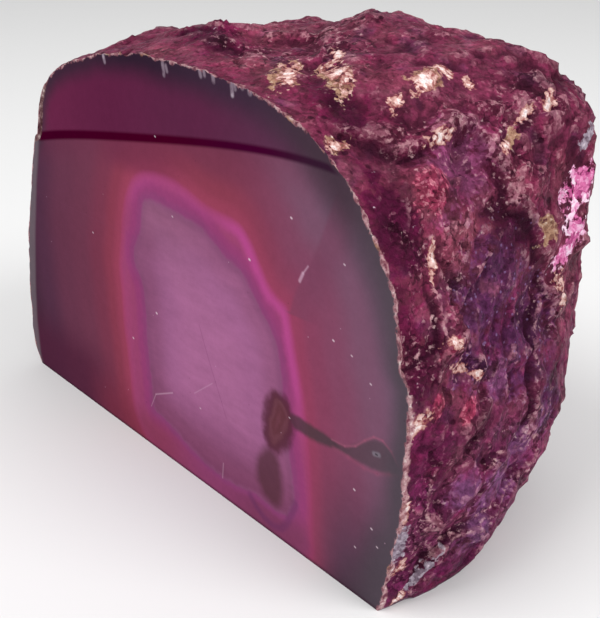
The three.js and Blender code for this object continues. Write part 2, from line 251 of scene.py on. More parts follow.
def facets(points, size, tilt, step, seed, edge):
    """Each point lies on the tilted plane of the nearest of some scattered centres, blended at borders."""
    cell = np.floor(points / size)
    first = np.full(points.shape[:-1], np.inf)
    second = first.copy()
    first_height = np.zeros(first.shape)
    second_height = np.zeros(first.shape)
    for place in np.ndindex(3, 3, 3):
        at = cell + np.array(place) - 1
        away = points - (at + np.stack([scatter(at, seed + n) for n in range(3)], -1)) * size
        distance = np.sqrt((away**2).sum(-1))
        lean = sum(away[..., n] * (2 * scatter(at, seed + LEAN_SEED + n) - 1) for n in range(3))
        height = tilt * lean + step * (2 * scatter(at, seed + STEP_SEED) - 1)
        nearest = distance < first
        next_one = ~nearest & (distance < second)
        second_height = np.where(nearest, first_height, np.where(next_one, height, second_height))
        second = np.where(nearest, first, np.where(next_one, distance, second))
        first_height = np.where(nearest, height, first_height)
        first = np.where(nearest, distance, first)
    own = 0.5 + 0.5 * smooth((second - first) / edge)
    return first_height * own + second_height * (1 - own)


def terraces(points, ragged, size, levels, rise, seed, wander, scarp):
    """Soft lumps cut into level steps with short scarps between them."""
    level = levels * (0.5 + 0.5 * soft_lumps(points, size, seed) + wander * ragged)
    base = np.floor(level)
    return rise * (base + smooth((level - base - 0.5) / scarp + 0.5) - levels / 2)


def turned(u, v, at, size, angle):
    """Distance from the middle of an ellipse on the unrolled rind, which is 1 on its outline."""
    c, s = math.cos(math.radians(angle)), math.sin(math.radians(angle))
    along = ((u - at[0]) * c + (v - at[1]) * s) / size[0]
    across = ((v - at[1]) * c - (u - at[0]) * s) / size[1]
    return np.hypot(along, across)


def to_line(x, y, line):
    """Distance to a bent line, and the signed distance to its nearest stretch, drawn out both ways."""
    nearest = np.full(np.shape(x), np.inf)
    side = np.zeros(np.shape(x))
    for (ax, ay), (bx, by) in zip(line[:-1], line[1:]):
        length = math.hypot(bx - ax, by - ay)
        t = np.clip(((x - ax) * (bx - ax) + (y - ay) * (by - ay)) / length**2, 0, 1)
        distance = np.hypot(x - ax - t * (bx - ax), y - ay - t * (by - ay))
        near = distance < nearest - TOUCH
        side = np.where(near, ((bx - ax) * (y - ay) - (by - ay) * (x - ax)) / length, side)
        nearest = np.where(near, distance, nearest)
    return nearest, side


def below_ledge(u, v, ragged, line):
    """How far a place lies below a ledge's ragged edge, and how strong the ledge is there."""
    nearest, side = to_line(u, v, line)
    past_end = np.sqrt(np.maximum(nearest**2 - side**2, 0))
    return side + LEDGE_WANDER * ragged, np.exp(-((past_end / LEDGE_FADE) ** 2))


def ledge_height(u, v, ragged, line, drop, lip, reach):
    below, strength = below_ledge(u, v, ragged, line)
    depth = smooth(below / (lip * LEDGE_CRISP) + 0.5) * np.exp(-((np.maximum(below, 0) / reach) ** 2))
    return -drop * depth * strength


def relief(turn, tilt, radius):
    """All the rough relief of the rind, fine relief included, measured outwards from the hub."""
    u, v = unroll(turn, tilt)
    points = direction(turn, tilt) * radius[..., None]
    ragged = layers(points, RAGGED)
    apart = (u - BROKEN["at"][0]) ** 2 + (v - BROKEN["at"][1]) ** 2
    broken = 1 + BROKEN["gain"] * np.exp(-apart / BROKEN["radius"] ** 2)
    blocky = facets(wandered(points, FACET_WANDER), **FACETS) * broken
    blocky = blocky + terraces(points, ragged, **TERRACES)
    lumps = sum(height * np.exp(-(turned(u, v, at, size, angle) ** (2 * LUMP_POWER)))
                for at, size, angle, height in LUMPS)
    ledges = sum(ledge_height(u, v, ragged, *ledge) for ledge in LEDGES)
    clean = CLEAN_BREAK["share"] * smooth(field(u, v, VIOLET_ZONES) / CLEAN_BREAK["blend"] + 0.5)
    fine = layers(points, FINE_GRAIN) + facets(wandered(points, CHIPS_WANDER), **CHIPS) * broken
    fine = fine * (1 - clean)
    from_cut = np.minimum(tilt, math.pi / 2 - tilt) / math.radians(CALM_EDGE["depth"])
    calm = CALM_EDGE["share"] + (1 - CALM_EDGE["share"]) * smooth(from_cut)
    from_corner = np.minimum(turn, math.pi - turn) / math.radians(CALM_CORNER)
    return (layers(points, GRAIN) + blocky + lumps + ledges + fine) * calm * smooth(from_corner)


def rind_points():
    """The rind's points as a grid, with the turn and tilt of each and the height of its relief."""
    turn, tilt = np.meshgrid(
        np.linspace(0, math.pi, SLICES["turn"] + 1),
        np.linspace(0, math.pi / 2, SLICES["tilt"] + 1),
        indexing="ij",
    )
    radius = body_radius(turn, tilt)
    height = relief(turn, tilt, radius)
    points = direction(turn, tilt) * (radius + height)[..., None] + (HUB, 0, 0)
    points[:, 0, 1] = 0
    points[:, -1, 2] = 0
    points[0] = (FACE_BOTTOM, 0, 0)
    points[-1] = (0, 0, 0)
    return points, turn, tilt, height


# Marks on the unrolled rind: place (u, v), two radii, angle in degrees
# Pale crystal patches; a few of them, on lit blocks, are painted highlights
PALE_PATCHES = [
    ((119.5, -62), (6, 2.2), 35), ((115, -54.6), (6, 1.9), 8), ((121, -51), (6, 1.1), 30),
    ((105, -43.5), (2.4, 2.6), 0), ((107, -38.8), (1.8, 2.2), 60), ((104, -35), (1.8, 1.2), 0),
    ((103, -49), (2, 1.5), 20), ((99, -61), (1.5, 2.8), 0), ((94.4, -43), (1.1, 3.4), 0),
    ((76, -43.6), (3.6, 1.2), -15), ((92, -30.5), (2, 1), 20), ((97, -27), (1.6, 1), 40),
    ((98, -23), (2, 1.5), 0), ((61.8, -35.5), (1.4, 2.6), 20), ((58.6, -28.5), (1.2, 3.6), 0),
    ((57, -22.5), (1, 3), 10), ((49.5, -35), (2.4, 2.6), 40), ((15, -7.5), (3.5, 1.8), -37),
    ((31.5, -23.5), (4.5, 1.4), -37), ((6, 1.5), (2.5, 1.8), 20), ((77, -3.5), (2.6, 4), 15),
    ((150, 30), (5, 3), 30), ((205, 5), (5, 3), 60), ((178, -35), (4, 2.2), 120),
    ((232, 12), (3.5, 2.5), 40), ((125, 38), (3, 2), 10), ((248, -20), (4, 2), 90),
]
# Pink patches: partly pink crystal, partly painted highlight
BLUSH_AND_SHEEN_PATCHES = [
    ((89.5, -11), (4, 3), 30), ((83.5, -7.5), (4.4, 2.8), 30), ((165, 12), (5, 3), 30),
    ((220, -30), (4, 3), 80), ((192, 38), (4, 3), 0),
]
OCHRE_PATCHES = [
    ((120, -62.5), (6.6, 3), 35), ((114, -55.3), (6.4, 2.7), 8), ((105.5, -43), (3, 2.8), 0),
    ((99, -61), (2.2, 3.4), 0), ((81.5, -16.5), (2, 3.6), 0), ((93, -29.5), (2, 1.2), 0),
    ((140, 20), (4, 3), 0),
]
RED_PATCHES = [
    ((86, -45.5), (4.2, 4.6), 0), ((61.5, -35.5), (2, 2.2), 0), ((52, -32), (3, 2), -30),
    ((50, -22), (3, 2), 0), ((120, 5), (7, 5), 30), ((185, 10), (8, 5), 100),
]
VIOLET_ZONES = [
    ((66, -12), (11, 12), 20), ((72, -27), (10, 9), 0), ((60, -24), (6, 8), 0), ((61, 8), (6, 8), 0),
    ((150, 20), (30, 16), 20), ((215, 10), (26, 18), 100),
]
MAUVE_ZONES = [
    ((89, -39), (8, 8), 0), ((44, 6), (13, 8), 20), ((30, 6), (8, 5), 20), ((36, -9), (6, 4), 0),
    ((57, -14), (5, 5), 0), ((100, 25), (14, 10), 0), ((240, 15), (14, 9), 30), ((175, -25), (12, 7), 10),
]
CRIMSON_ZONES = [
    ((67, -45.5), (6, 3), -42), ((145, -61), (13, 7), 0), ((109, -58), (9, 5), -15),
    ((82, -53), (12, 4), -30), ((43, -28), (17, 5.5), -37), ((10, -3), (7, 3), -20), ((16, 6), (5, 5), 0),
    ((170, -10), (24, 14), 0),
]
# Dark zones where shade is painted on the rind: in dips, under ledges and near the rim
SHADE_ZONES = [
    ((59.5, -39.5), (6.5, 5.2), -37), ((147, -62.5), (10, 3.5), 0), ((106, -57.5), (6, 3), -15),
    ((82, -52), (11, 4), -30), ((80, -26), (3, 9), 15), ((47, -15), (5, 3.5), 0), ((66, 6), (6, 4), 0),
    ((135, 5), (8, 5), 40), ((200, -25), (9, 5), 100), ((230, 25), (7, 4), 20),
]
GREY_ZONES = [((21.8, -15.9), (7.5, 1.8), -37), ((14, 0), (6, 1.1), -15), ((95, -14.5), (1.8, 1.5), 0),
              ((238, 0), (8, 2), 60)]
RIND_MARKS = {
    "pale": PALE_PATCHES, "blush_and_sheen": BLUSH_AND_SHEEN_PATCHES, "ochre": OCHRE_PATCHES, "red": RED_PATCHES,
    "violet": VIOLET_ZONES, "mauve": MAUVE_ZONES, "crimson": CRIMSON_ZONES, "shade": SHADE_ZONES,
    "grey": GREY_ZONES,
}

# Thin pale seams on the unrolled rind, as lines of points
SEAMS = [
    [(94.3, -47), (94.3, -43), (95.3, -39)],
    [(80, -45.5), (76, -44), (73, -42)],
    [(69, -41), (64, -41), (60, -43)],
    [(58.6, -32), (59.3, -29), (58.6, -26)],
    [(57.5, -25), (56.6, -22), (56, -19)],
    [(52, 4), (53.5, 9), (55.5, 13)],
    [(8, 3), (12, 0.6), (16, -1.5), (20, -2.8), (23, -1.8), (28, 1.5), (33, 4.8), (37, 8.5), (41, 11.5),
     (46, 13.2), (50, 14)],
    [(20, -3), (22, -8), (25, -12), (30, -16), (36, -20)],
    [(40, -5), (44, -4), (46, -2)],
    [(75, -8), (74, -4), (76, 0)],
    [(99, -26), (97, -29), (93, -33), (90, -30), (86, -28)],
    [(118, -52), (124, -49), (130, -45), (137, -41)],
    [(131, -60), (137, -57), (145, -58)],
    [(124, 8), (132, 14), (138, 26), (146, 32)],
    [(200, -18), (194, -6), (190, 6), (193, 18)],
    [(225, 20), (234, 8), (240, -8)],
]


def field(u, v, marks):
    """How deep inside the nearest of some marks a place is: 1 in its middle, 0 on its outline."""
    return np.maximum(-1, np.max([1 - turned(u, v, *mark) for mark in marks], axis=0))


def blurred(values, rounds):
    """A grid of values softened by averaging neighbours again and again."""
    for _ in range(rounds):
        for axis in (0, 1):
            wide = np.pad(values, [(1, 1) if axis == n else (0, 0) for n in (0, 1)], mode="edge")
            values = (np.take(wide, range(2, wide.shape[axis]), axis) + 2 * values
                      + np.take(wide, range(wide.shape[axis] - 2), axis)) / 4
    return values


# What the rind's finish reads besides the marks
NEAR_BLUR, WIDE_BLUR = 10, 120  # rounds of softening, to tell small crests and large hollows apart
SEAM_REACH = 9  # distance past which a seam is no longer felt
# Soft lines along each ledge: a painted shadow below its edge, and the pale lip above it, which is partly
# painted highlight
LEDGE_SHADOW = {"below": 0.6, "width": 0.8}
LEDGE_LIP = {"below": -0.9, "width": 0.8}


def along_ledges(ledges, below, width):
    """1 on a soft line at a distance below the edge of each ledge."""
    return sum(strength * np.exp(-(((depth - below) / width) ** 2)) for depth, strength in ledges)


def rind_marks(points, turn, tilt, height):
    """What the rind's finish reads at each point: marks, seams, crests and hollows."""
    u, v = unroll(turn, tilt)
    seams = np.min([to_line(u, v, seam)[0] for seam in SEAMS], axis=0)
    ragged = layers(direction(turn, tilt) * body_radius(turn, tilt)[..., None], RAGGED)
    ledges = [below_ledge(u, v, ragged, line) for line, *_ in LEDGES]
    marks = {name: field(u, v, places) for name, places in RIND_MARKS.items()}
    return marks | {
        "seam": np.minimum(seams, SEAM_REACH),
        # The painted shadow under each ledge's edge, and the pale lip above it
        "ledge_shadow": along_ledges(ledges, **LEDGE_SHADOW),
        "lip": along_ledges(ledges, **LEDGE_LIP),
        "crest": height - blurred(height, NEAR_BLUR),
        "swell": height - blurred(height, WIDE_BLUR),
        "rim": np.linalg.norm(points - points[:, :1], axis=-1),
        "foot": np.linalg.norm(points - points[:, -1:], axis=-1),
    }


# Marks on the polished face, as (x, z): the dark band, the ring, the core, the small dark arc low in it,
# the flare at its top right, and the eye with its stain and its stem
BAND = [(13, 67.6), (20, 69.4), (30, 71.3), (40, 73.1), (50, 74.8), (60, 76.5), (70, 78), (80, 79.5),
        (90, 80.9), (100, 82.05), (110, 82.75), (120, 82.95), (127, 82.5)]
RING = [
    (50.5, 6), (49.7, 14), (49.2, 22), (48.6, 30), (48.6, 38), (48.4, 44), (50, 50), (51.5, 56),
    (53.2, 61), (55.5, 65), (59, 68), (64, 69.5), (71, 69.7), (77, 68.8), (83, 67), (89, 66.4), (94, 66),
    (97.3, 63.5), (100, 60), (103, 56.3), (105.5, 54.6), (108.2, 53.4), (109.6, 50), (110.6, 45),
    (112, 40), (113, 35), (114, 28), (115, 18), (115.5, 8), (115, 0), (105, -4), (85, -4), (70, -2),
    (57, 0),
]
CORE = [
    (59.3, 10.5), (58.8, 14), (58.4, 20), (58, 26), (58, 32), (58.3, 38), (57.5, 43), (54.8, 46.5),
    (55.2, 50.5), (57.5, 54), (58.6, 58), (60, 62.5), (64, 64), (70, 63.6), (77, 63.1), (82, 62.2),
    (86, 60.4), (90, 58.4), (94.5, 57.2), (98, 54), (100.5, 51), (103.5, 48.2), (105.6, 45), (106.8, 41),
    (107.4, 37), (107.2, 33), (108, 28), (109.5, 21), (110.8, 14), (110.5, 10), (108, 6.7), (104, 6.2),
    (98, 6.8), (92, 5.5), (86, 5), (79, 5.7), (73, 6.8), (68, 8.6), (63, 10),
]
CUP = [(96, 5.6), (98.2, 3.7), (101, 2.4), (104, 2), (106.4, 2.9), (108.2, 5), (109.6, 8), (111, 11.5)]
FLARE = [(109.3, 53), (110.5, 56.5), (112.2, 60), (115, 64.5), (117.5, 69), (120, 75)]
EYE = [
    (101.8, 30.5), (103.3, 33.3), (105.6, 34.8), (108, 34.4), (109.8, 32.6), (110.5, 30), (110.2, 27),
    (108.8, 24), (106.8, 21.6), (104.4, 20.5), (102.2, 21.6), (101, 24.5), (100.9, 27.7),
]
STAIN = [
    (100.4, 18.6), (102.5, 20.4), (105, 19.6), (106.3, 16), (106.6, 12), (105.8, 8.6), (103.4, 7.7),
    (100.6, 8.8), (98.7, 11.5), (98.9, 15.5),
]
VEIN = [
    (109.8, 31.8), (113, 32), (117, 31.7), (121, 31.5), (125, 31.5), (127.5, 32.8), (130, 34.8),
    (132.8, 36.6), (135.5, 36.6), (138, 34.6), (139.4, 32.4), (136.5, 31), (132, 30.2), (128, 30),
    (124, 30), (120, 29.3), (116, 28.7), (113, 28.8), (110, 29.3),
]
# Depth of the grey-green zone under the rim, by angle in degrees round the rim from the right corner
GREY_DEPTH = [(0, 17), (10, 10), (25, 6), (35, 5), (45, 8), (55, 10), (70, 7), (95, 6), (125, 4.5),
              (145, 2.5), (180, 2)]
# Line that the bevelled strip on the left follows
LEFT_BEVEL = [(12, 70), (7, 56), (2.6, 40), (-0.6, 25), (-2.2, 14), (-2.4, 6)]
NOT_THERE = -9  # signed distance that stands for a mark that is absent at a place


def rounded(points):
    """A closed line through some points, rounded between them."""
    points = np.array(points, float)
    before, after, beyond = (np.roll(points, -n, axis=0) for n in (-1, 1, 2))
    curve = []
    for t in np.arange(ROUND_STEPS) / ROUND_STEPS:
        curve.append(0.5 * (2 * points + (after - before) * t
                            + (2 * before - 5 * points + 4 * after - beyond) * t**2
                            + (3 * points - before - 3 * after + beyond) * t**3))
    return np.stack(curve, 1).reshape(-1, 2)


def inward(points, loop):
    """Signed distance to a closed line: positive outside it, negative inside."""
    x, y = points[:, :1], points[:, 1:]
    ax, ay = loop[:, 0], loop[:, 1]
    bx, by = np.roll(ax, -1), np.roll(ay, -1)
    t = np.clip(((x - ax) * (bx - ax) + (y - ay) * (by - ay)) / ((bx - ax) ** 2 + (by - ay) ** 2), 0, 1)
    distance = np.hypot(x - ax - t * (bx - ax), y - ay - t * (by - ay)).min(1)
    rise = np.where(by == ay, 1, by - ay)
    crosses = ((ay > y) != (by > y)) & (x < (bx - ax) * (y - ay) / rise + ax)
    return np.where(crosses.sum(1) % 2 == 1, -distance, distance)


def face_marks(points, rim_line):
    """What the polished face's finish reads at each point (x, z), from the line of its rim."""
    x, z = points[:, 0], points[:, 1]
    band_x, band_z = zip(*BAND)
    trend = np.polyfit(band_x, band_z, BAND_CURVE)
    angles, depths = zip(*GREY_DEPTH)
    depth = np.interp(np.degrees(np.arctan2(z, x - HUB)), angles, depths)
    from_rim, _ = to_line(x, z, rim_line)
    return {
        "band": z - np.polyval(trend, x),
        "ring": inward(points, rounded(RING)),
        "core": inward(points, rounded(CORE)),
        "cup": to_line(x, z, CUP)[0],
        "flare": np.where(z > FLARE[0][1], to_line(x, z, FLARE)[1], NOT_THERE),
        "eye": inward(points, rounded(EYE)),
        "stain": inward(points, rounded(STAIN)),
        "vein": inward(points, rounded(VEIN)),
        "left_edge": to_line(x, z, LEFT_BEVEL)[1],
        "rim": from_rim,
        "grey": from_rim / depth,
    }


def filled(loop, step):
    """Even triangles that fill a flat outline: the points inside it, and the triangles' corners."""
    low, high = loop.min(0), loop.max(0)
    inner = []
    for n, y in enumerate(np.arange(low[1], high[1], step * math.sqrt(3) / 2)):
        inner += [(x, y) for x in np.arange(low[0] + (n % 2) * step / 2, high[0], step)]
    inner = np.array(inner)
    inner = inner[inward(inner, loop) < -EDGE_CLEAR * step]
    corners = [Vector(p) for p in np.vstack((loop, inner))]
    found = delaunay_2d_cdt(corners, [], [list(range(len(loop)))], 1, MERGE)
    origin = [min(o) for o in found[3]]
    return inner, np.array([[origin[i] for i in triangle] for triangle in found[2]])


def cut_corner():
    """Where the cut frame's origin is: the left end of the CAD block's edge between face and base."""
    low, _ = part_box("agate_block")
    near = NEAR_EDGE * MM
    points = [v.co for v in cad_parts["agate_block"].data.vertices]
    return min((p for p in points if p.y < low[1] + near and p.z < low[2] + near), key=lambda p: p.x)


class Block:
    """The closed surface of the stone, put together from its rind, its polished face and its base."""

    def __init__(self):
        self.points = []
        self.count = 0
        self.faces = []
        self.places = []
        self.finish = []
        self.marks = {}

    def add_points(self, points):
        ids = np.arange(self.count, self.count + len(points))
        self.points.append(points)
        self.count += len(points)
        return ids

    def add_faces(self, faces, place, finish):
        """place gives the spot of each point on the sheet, by its number."""
        self.faces += faces.tolist()
        self.places.append(place[faces.ravel()])
        self.finish += [finish] * len(faces)

    def mark(self, prefix, ids, values):
        for name, value in values.items():
            self.marks[prefix + name] = (ids, value)

    def mesh(self, name, origin):
        made = bpy.data.meshes.new(name)
        points = np.vstack(self.points) * MM + np.array(origin)
        made.from_pydata(points.tolist(), [], self.faces)
        made.polygons.foreach_set("material_index", self.finish)
        made.polygons.foreach_set("use_smooth", [finish == RIND for finish in self.finish])
        layer = made.uv_layers.new(name="OFBake")
        layer.data.foreach_set("uv", (np.vstack(self.places) / SHEET).ravel())
        for key, (ids, value) in self.marks.items():
            values = np.zeros(self.count)
            values[ids] = value
            made.attributes.new(key, "FLOAT", "POINT").data.foreach_set("value", values)
        made.update()
        return made


def stone_mesh():
    grid, turn, tilt, height = rind_points()
    block = Block()
    corners = block.add_points(np.array([(FACE_BOTTOM, 0, 0), (0, 0, 0)]))
    ids = np.empty(turn.shape, int)
    ids[0], ids[-1] = corners
    ids[1:-1] = block.add_points(grid[1:-1].reshape(-1, 3)).reshape(ids[1:-1].shape)
    steps = round(FACE_BOTTOM / FACE_STEP / 2) * 2
    edge = np.linspace(0, FACE_BOTTOM, steps + 1)[1:-1]
    edge_ids = block.add_points(np.stack((edge, 0 * edge, 0 * edge), 1))

    u, v = unroll(turn, tilt)
    on_sheet = np.zeros((ids.max() + 1, 2))
    rind_middle = SHEET - RIND_RADIUS * math.pi / 4 - SHEET_GAP
    on_sheet[ids.ravel()] = np.stack((u.ravel(), rind_middle - v.ravel()), 1)
    a, b, c, d = ids[:-1, :-1], ids[:-1, 1:], ids[1:, 1:], ids[1:, :-1]
    block.add_faces(np.stack((a, b, c, d), -1)[1:-1].reshape(-1, 4), on_sheet, RIND)
    block.add_faces(np.stack((a, c, d), -1)[0], on_sheet, RIND)
    block.add_faces(np.stack((a, b, c), -1)[-1], on_sheet, RIND)
    marks = rind_marks(grid, turn, tilt, height)
    block.mark("rind_", ids.ravel(), {key: value.ravel() for key, value in marks.items()})

    def flat(side_ids, axis, step, finish, shift):
        """One of the two cuts: its outline runs along the rind and back along the shared edge."""
        loop_ids = np.concatenate((side_ids, edge_ids))
        loop = np.vstack(block.points)[loop_ids][:, (0, axis)]
        inner, triangles = filled(loop, step)
        spots = np.zeros((len(inner), 3))
        spots[:, (0, axis)] = inner
        all_ids = np.concatenate((loop_ids, block.add_points(spots)))
        if axis == 1:
            triangles = triangles[:, ::-1]
        place = np.zeros((block.count, 2))
        place[all_ids] = np.vstack((loop, inner)) + shift
        block.add_faces(all_ids[triangles], place, finish)
        return all_ids, np.vstack((loop, inner)), loop

    left, right = min(x for x, _ in RIM), max(x for x, _ in RIM)
    margin = SHEET_EDGE - left
    face_ids, face_points, loop = flat(ids[:, 0], 2, FACE_STEP, POLISHED, (margin, SHEET_GAP))
    block.mark("face_", face_ids, face_marks(face_points, loop[:len(ids):RIM_STRIDE]))
    flat(ids[:, -1], 1, BASE_STEP, SAWN, (margin + right + 2 * SHEET_GAP + SHEET_EDGE, SHEET_GAP))
    return block.mesh("agate_stone", cut_corner())


def colour(code):
    """A colour given as #rrggbb, as the linear numbers that the shaders use."""
    parts = [int(code[i:i + 2], 16) / 255 for i in (1, 3, 5)]
    return [p / 12.92 if p <= 0.04045 else ((p + 0.055) / 1.055) ** 2.4 for p in parts] + [1.0]


class Value:
    """A value or colour inside a shader, which can be added, multiplied and so on."""

    def __init__(self, socket):
        self.socket = socket
        self.tree = socket.id_data

    def maths(self, operation, a, b=0.0):
        return put(self.tree, "ShaderNodeMath", {0: a, 1: b}, operation=operation)[0]

    def __add__(self, other):
        return self.maths("ADD", self, other)

    def __sub__(self, other):
        return self.maths("SUBTRACT", self, other)

    def __rsub__(self, other):
        return self.maths("SUBTRACT", other, self)

    def __mul__(self, other):
        return self.maths("MULTIPLY", self, other)

    def __truediv__(self, other):
        return self.maths("DIVIDE", self, other)

    def __rtruediv__(self, other):
        return self.maths("DIVIDE", other, self)

    def __abs__(self):
        return self.maths("ABSOLUTE", self)

    __radd__, __rmul__ = __add__, __mul__


class Outputs:
    """A node's outputs, by number or name."""

    def __init__(self, node):
        self.node = node

    def __getitem__(self, key):
        return Value(self.node.outputs[key])


def join(node, inputs):
    """Sets a node's inputs to numbers, or joins them to values of the same shader."""
    for key, value in inputs.items():
        if isinstance(value, Value):
            value.tree.links.new(value.socket, node.inputs[key])
        else:
            node.inputs[key].default_value = value
    return Outputs(node)


def put(tree, kind, inputs=None, **settings):
    """A new node with its settings and inputs, given back as its outputs."""
    node = tree.nodes.new(kind)
    for name, value in settings.items():
        setattr(node, name, value)
    return join(node, inputs or {})


def held(tree, name):
    """A value that the mesh holds at each of its points."""
    return put(tree, "ShaderNodeAttribute", attribute_name=name)["Fac"]


def highest(first, *others):
    for other in others:
        first = first.maths("MAXIMUM", first, other)
    return first


def fade(value, start, end, top=1.0):
    """0 at start, rising smoothly to top at end."""
    inputs = {"Value": value, "From Min": start, "From Max": end, "To Max": top}
    return put(value.tree, "ShaderNodeMapRange", inputs, interpolation_type="SMOOTHSTEP")[0]


def straight(value, start, end, low, high):
    """A value carried from one range over to another."""
    inputs = {"Value": value, "From Min": start, "From Max": end, "To Min": low, "To Max": high}
    return put(value.tree, "ShaderNodeMapRange", inputs)[0]


def over(mask, under, top, share=1.0):
    """One colour laid over another where the mask is 1, at a share of its strength."""
    under, top = (c if isinstance(c, Value) else colour(c) for c in (under, top))
    mask = mask * share if share < 1 else mask
    return put(mask.tree, "ShaderNodeMix", {0: mask, 6: under, 7: top}, data_type="RGBA")[2]


def vectors(operation, a, b, output="Vector"):
    return put(a.tree, "ShaderNodeVectorMath", {0: a, 1: b}, operation=operation)[output]


def scaled(vector, factor):
    """A vector or a colour multiplied by a value."""
    return put(vector.tree, "ShaderNodeVectorMath", {0: vector, "Scale": factor}, operation="SCALE")[0]


def ramp(value, stops):
    """Colours at given values, blended between them."""
    low, high = stops[0][0], stops[-1][0]
    node = value.tree.nodes.new("ShaderNodeValToRGB")
    node.color_ramp.interpolation = "EASE"
    points = node.color_ramp.elements
    while len(points) < len(stops):
        points.new(0.5)
    for point, (at, code) in zip(points, stops):
        point.position = (at - low) / (high - low)
        point.color = colour(code)
    return join(node, {0: straight(value, low, high, 0.0, 1.0)})[0]


def place_mm(tree):
    """The stone's own coordinates in millimetres."""
    return scaled(put(tree, "ShaderNodeTexCoord")["Object"], 1 / MM)


def in_cut_frame(tree):
    """x and z in millimetres from the bottom left corner of the polished face."""
    corner = cut_corner()
    split = put(tree, "ShaderNodeSeparateXYZ", {0: place_mm(tree)})
    return split["X"] - corner.x / MM, split["Z"] - corner.z / MM


def noise(place, size, detail=3.0, roughness=0.55, output="Fac"):
    """A cloudy value about 0.5, with blots of the given size in millimetres."""
    inputs = {"Vector": place, "Scale": 1.0 / size, "Detail": detail, "Roughness": roughness}
    return put(place.tree, "ShaderNodeTexNoise", inputs)[output]


def cells_of(place, size, **settings):
    """Cells of the given size in millimetres, each with a random colour."""
    return put(place.tree, "ShaderNodeTexVoronoi", {"Vector": place, "Scale": 1.0 / size}, **settings)


def lot_of(cells):
    """Three random numbers from 0 to 1 for each cell."""
    return put(cells[0].tree, "ShaderNodeSeparateColor", {0: cells["Color"]})


def new_group(name, inputs, outputs):
    """A shader node group with named inputs (name: value) and named outputs."""
    tree = bpy.data.node_groups.new(name, "ShaderNodeTree")
    for key, value in inputs.items():
        tree.interface.new_socket(key, in_out="INPUT", socket_type="NodeSocketFloat").default_value = value
    for key in outputs:
        tree.interface.new_socket(key, in_out="OUTPUT", socket_type="NodeSocketFloat")
    return tree, Outputs(tree.nodes.new("NodeGroupInput")), tree.nodes.new("NodeGroupOutput")


def stone_clouds():
    """Mottling of the stone's colour: a value from -1 to 1 in blots of the given size."""
    tree, given, end = new_group("stone_clouds", {"Size": 10.0, "Strength": 1.0}, ["Value"])
    cloud = noise(place_mm(tree), given["Size"])
    join(end, {"Value": (cloud - 0.5) * 4.0 * given["Strength"]})


def ragged_edge():
    """1 where a distance is under the width, with an edge that wanders by the given reach."""
    tree, given, end = new_group(
        "ragged_edge", {"Distance": 0.0, "Width": 1.0, "Reach": 0.5, "Size": 1.2, "Softness": 0.3}, ["Mask"])
    wander = (noise(place_mm(tree), given["Size"], 4.0, 0.65) - 0.5) * 4.0 * given["Reach"]
    past = (given["Width"] - (given["Distance"] + wander)) / given["Softness"]
    join(end, {"Mask": fade(past, -0.5, 0.5)})


def flecks():
    """Small flecks, one in some of the cells of the given spacing."""
    tree, given, end = new_group("flecks", {"Spacing": 3.0, "Radius": 0.3, "Share": 0.3}, ["Mask"])
    cells = cells_of(place_mm(tree), given["Spacing"])
    reach = given["Radius"] - cells["Distance"] * given["Spacing"]
    chosen = reach.maths("LESS_THAN", lot_of(cells)[0], given["Share"])
    join(end, {"Mask": fade(reach / given["Radius"], 0.0, 0.6) * chosen})


def sugar_grain():
    """Fine crystal grains, each with a tone of its own from -1 to 1."""
    tree, given, end = new_group("sugar_grain", {"Size": 0.8}, ["Tone"])
    join(end, {"Tone": straight(lot_of(cells_of(place_mm(tree), given["Size"]))[0], 0, 1, -1, 1)})


def chipped_stone():
    """Flat chips of broken stone: each place's height, each chip's tone, the distance to its border."""
    tree, given, end = new_group("chipped_stone", {"Size": 5.0, "Wander": 0.4, "Lean": 0.3},
                                 ["Height", "Tone", "Border"])
    place = place_mm(tree)
    middle = (0.5, 0.5, 0.5)
    drift = vectors("SUBTRACT", noise(place, given["Size"] * 0.7, 3.0, 0.6, "Color"), middle)
    moved = vectors("ADD", place, scaled(drift, given["Wander"] * given["Size"] * 2.0))
    cells = cells_of(moved, given["Size"])
    slope = vectors("SUBTRACT", cells["Color"], middle)
    lean = vectors("DOT_PRODUCT", vectors("SUBTRACT", moved, cells["Position"]), slope, "Value")
    lot = lot_of(cells)
    step = (lot[1] - 0.5) * given["Size"] * 0.5
    border = cells_of(moved, given["Size"], feature="DISTANCE_TO_EDGE")[0] * given["Size"]
    join(end, {"Height": (lean + step) * given["Lean"], "Tone": lot[0], "Border": border})


def stroke():
    """A thin stroke on the polished face from one point (x, z) to another, in the cut frame."""
    ends = {"From X": 0.0, "From Z": 0.0, "To X": 1.0, "To Z": 0.0}
    tree, given, end = new_group("stroke", ends | {"Width": 0.4, "Softness": 0.3}, ["Mask"])
    x, z = in_cut_frame(tree)
    dx, dz = given["To X"] - given["From X"], given["To Z"] - given["From Z"]
    px, pz = x - given["From X"], z - given["From Z"]
    t = put(tree, "ShaderNodeClamp", {0: (px * dx + pz * dz) / (dx * dx + dz * dz)})[0]
    qx, qz = px - t * dx, pz - t * dz
    away = x.maths("SQRT", qx * qx + qz * qz)
    join(end, {"Mask": fade((given["Width"] - away) / given["Softness"], -0.5, 0.5)})


def grouped(tree, name, **values):
    """A group placed in a shader with its own values. Underscores stand for spaces in its inputs' names."""
    node = tree.nodes.new("ShaderNodeGroup")
    node.node_tree = bpy.data.node_groups[name]
    return join(node, {key.replace("_", " "): value for key, value in values.items()})


def cloudy(tree, size, strength=1.0):
    return grouped(tree, "stone_clouds", Size=size, Strength=strength)[0]


def flecked(tree, spacing, radius, share):
    return grouped(tree, "flecks", Spacing=spacing, Radius=radius, Share=share)[0]


def edged(distance, width, reach, size, softness):
    return grouped(distance.tree, "ragged_edge", Distance=distance, Width=width, Reach=reach, Size=size,
                   Softness=softness)[0]


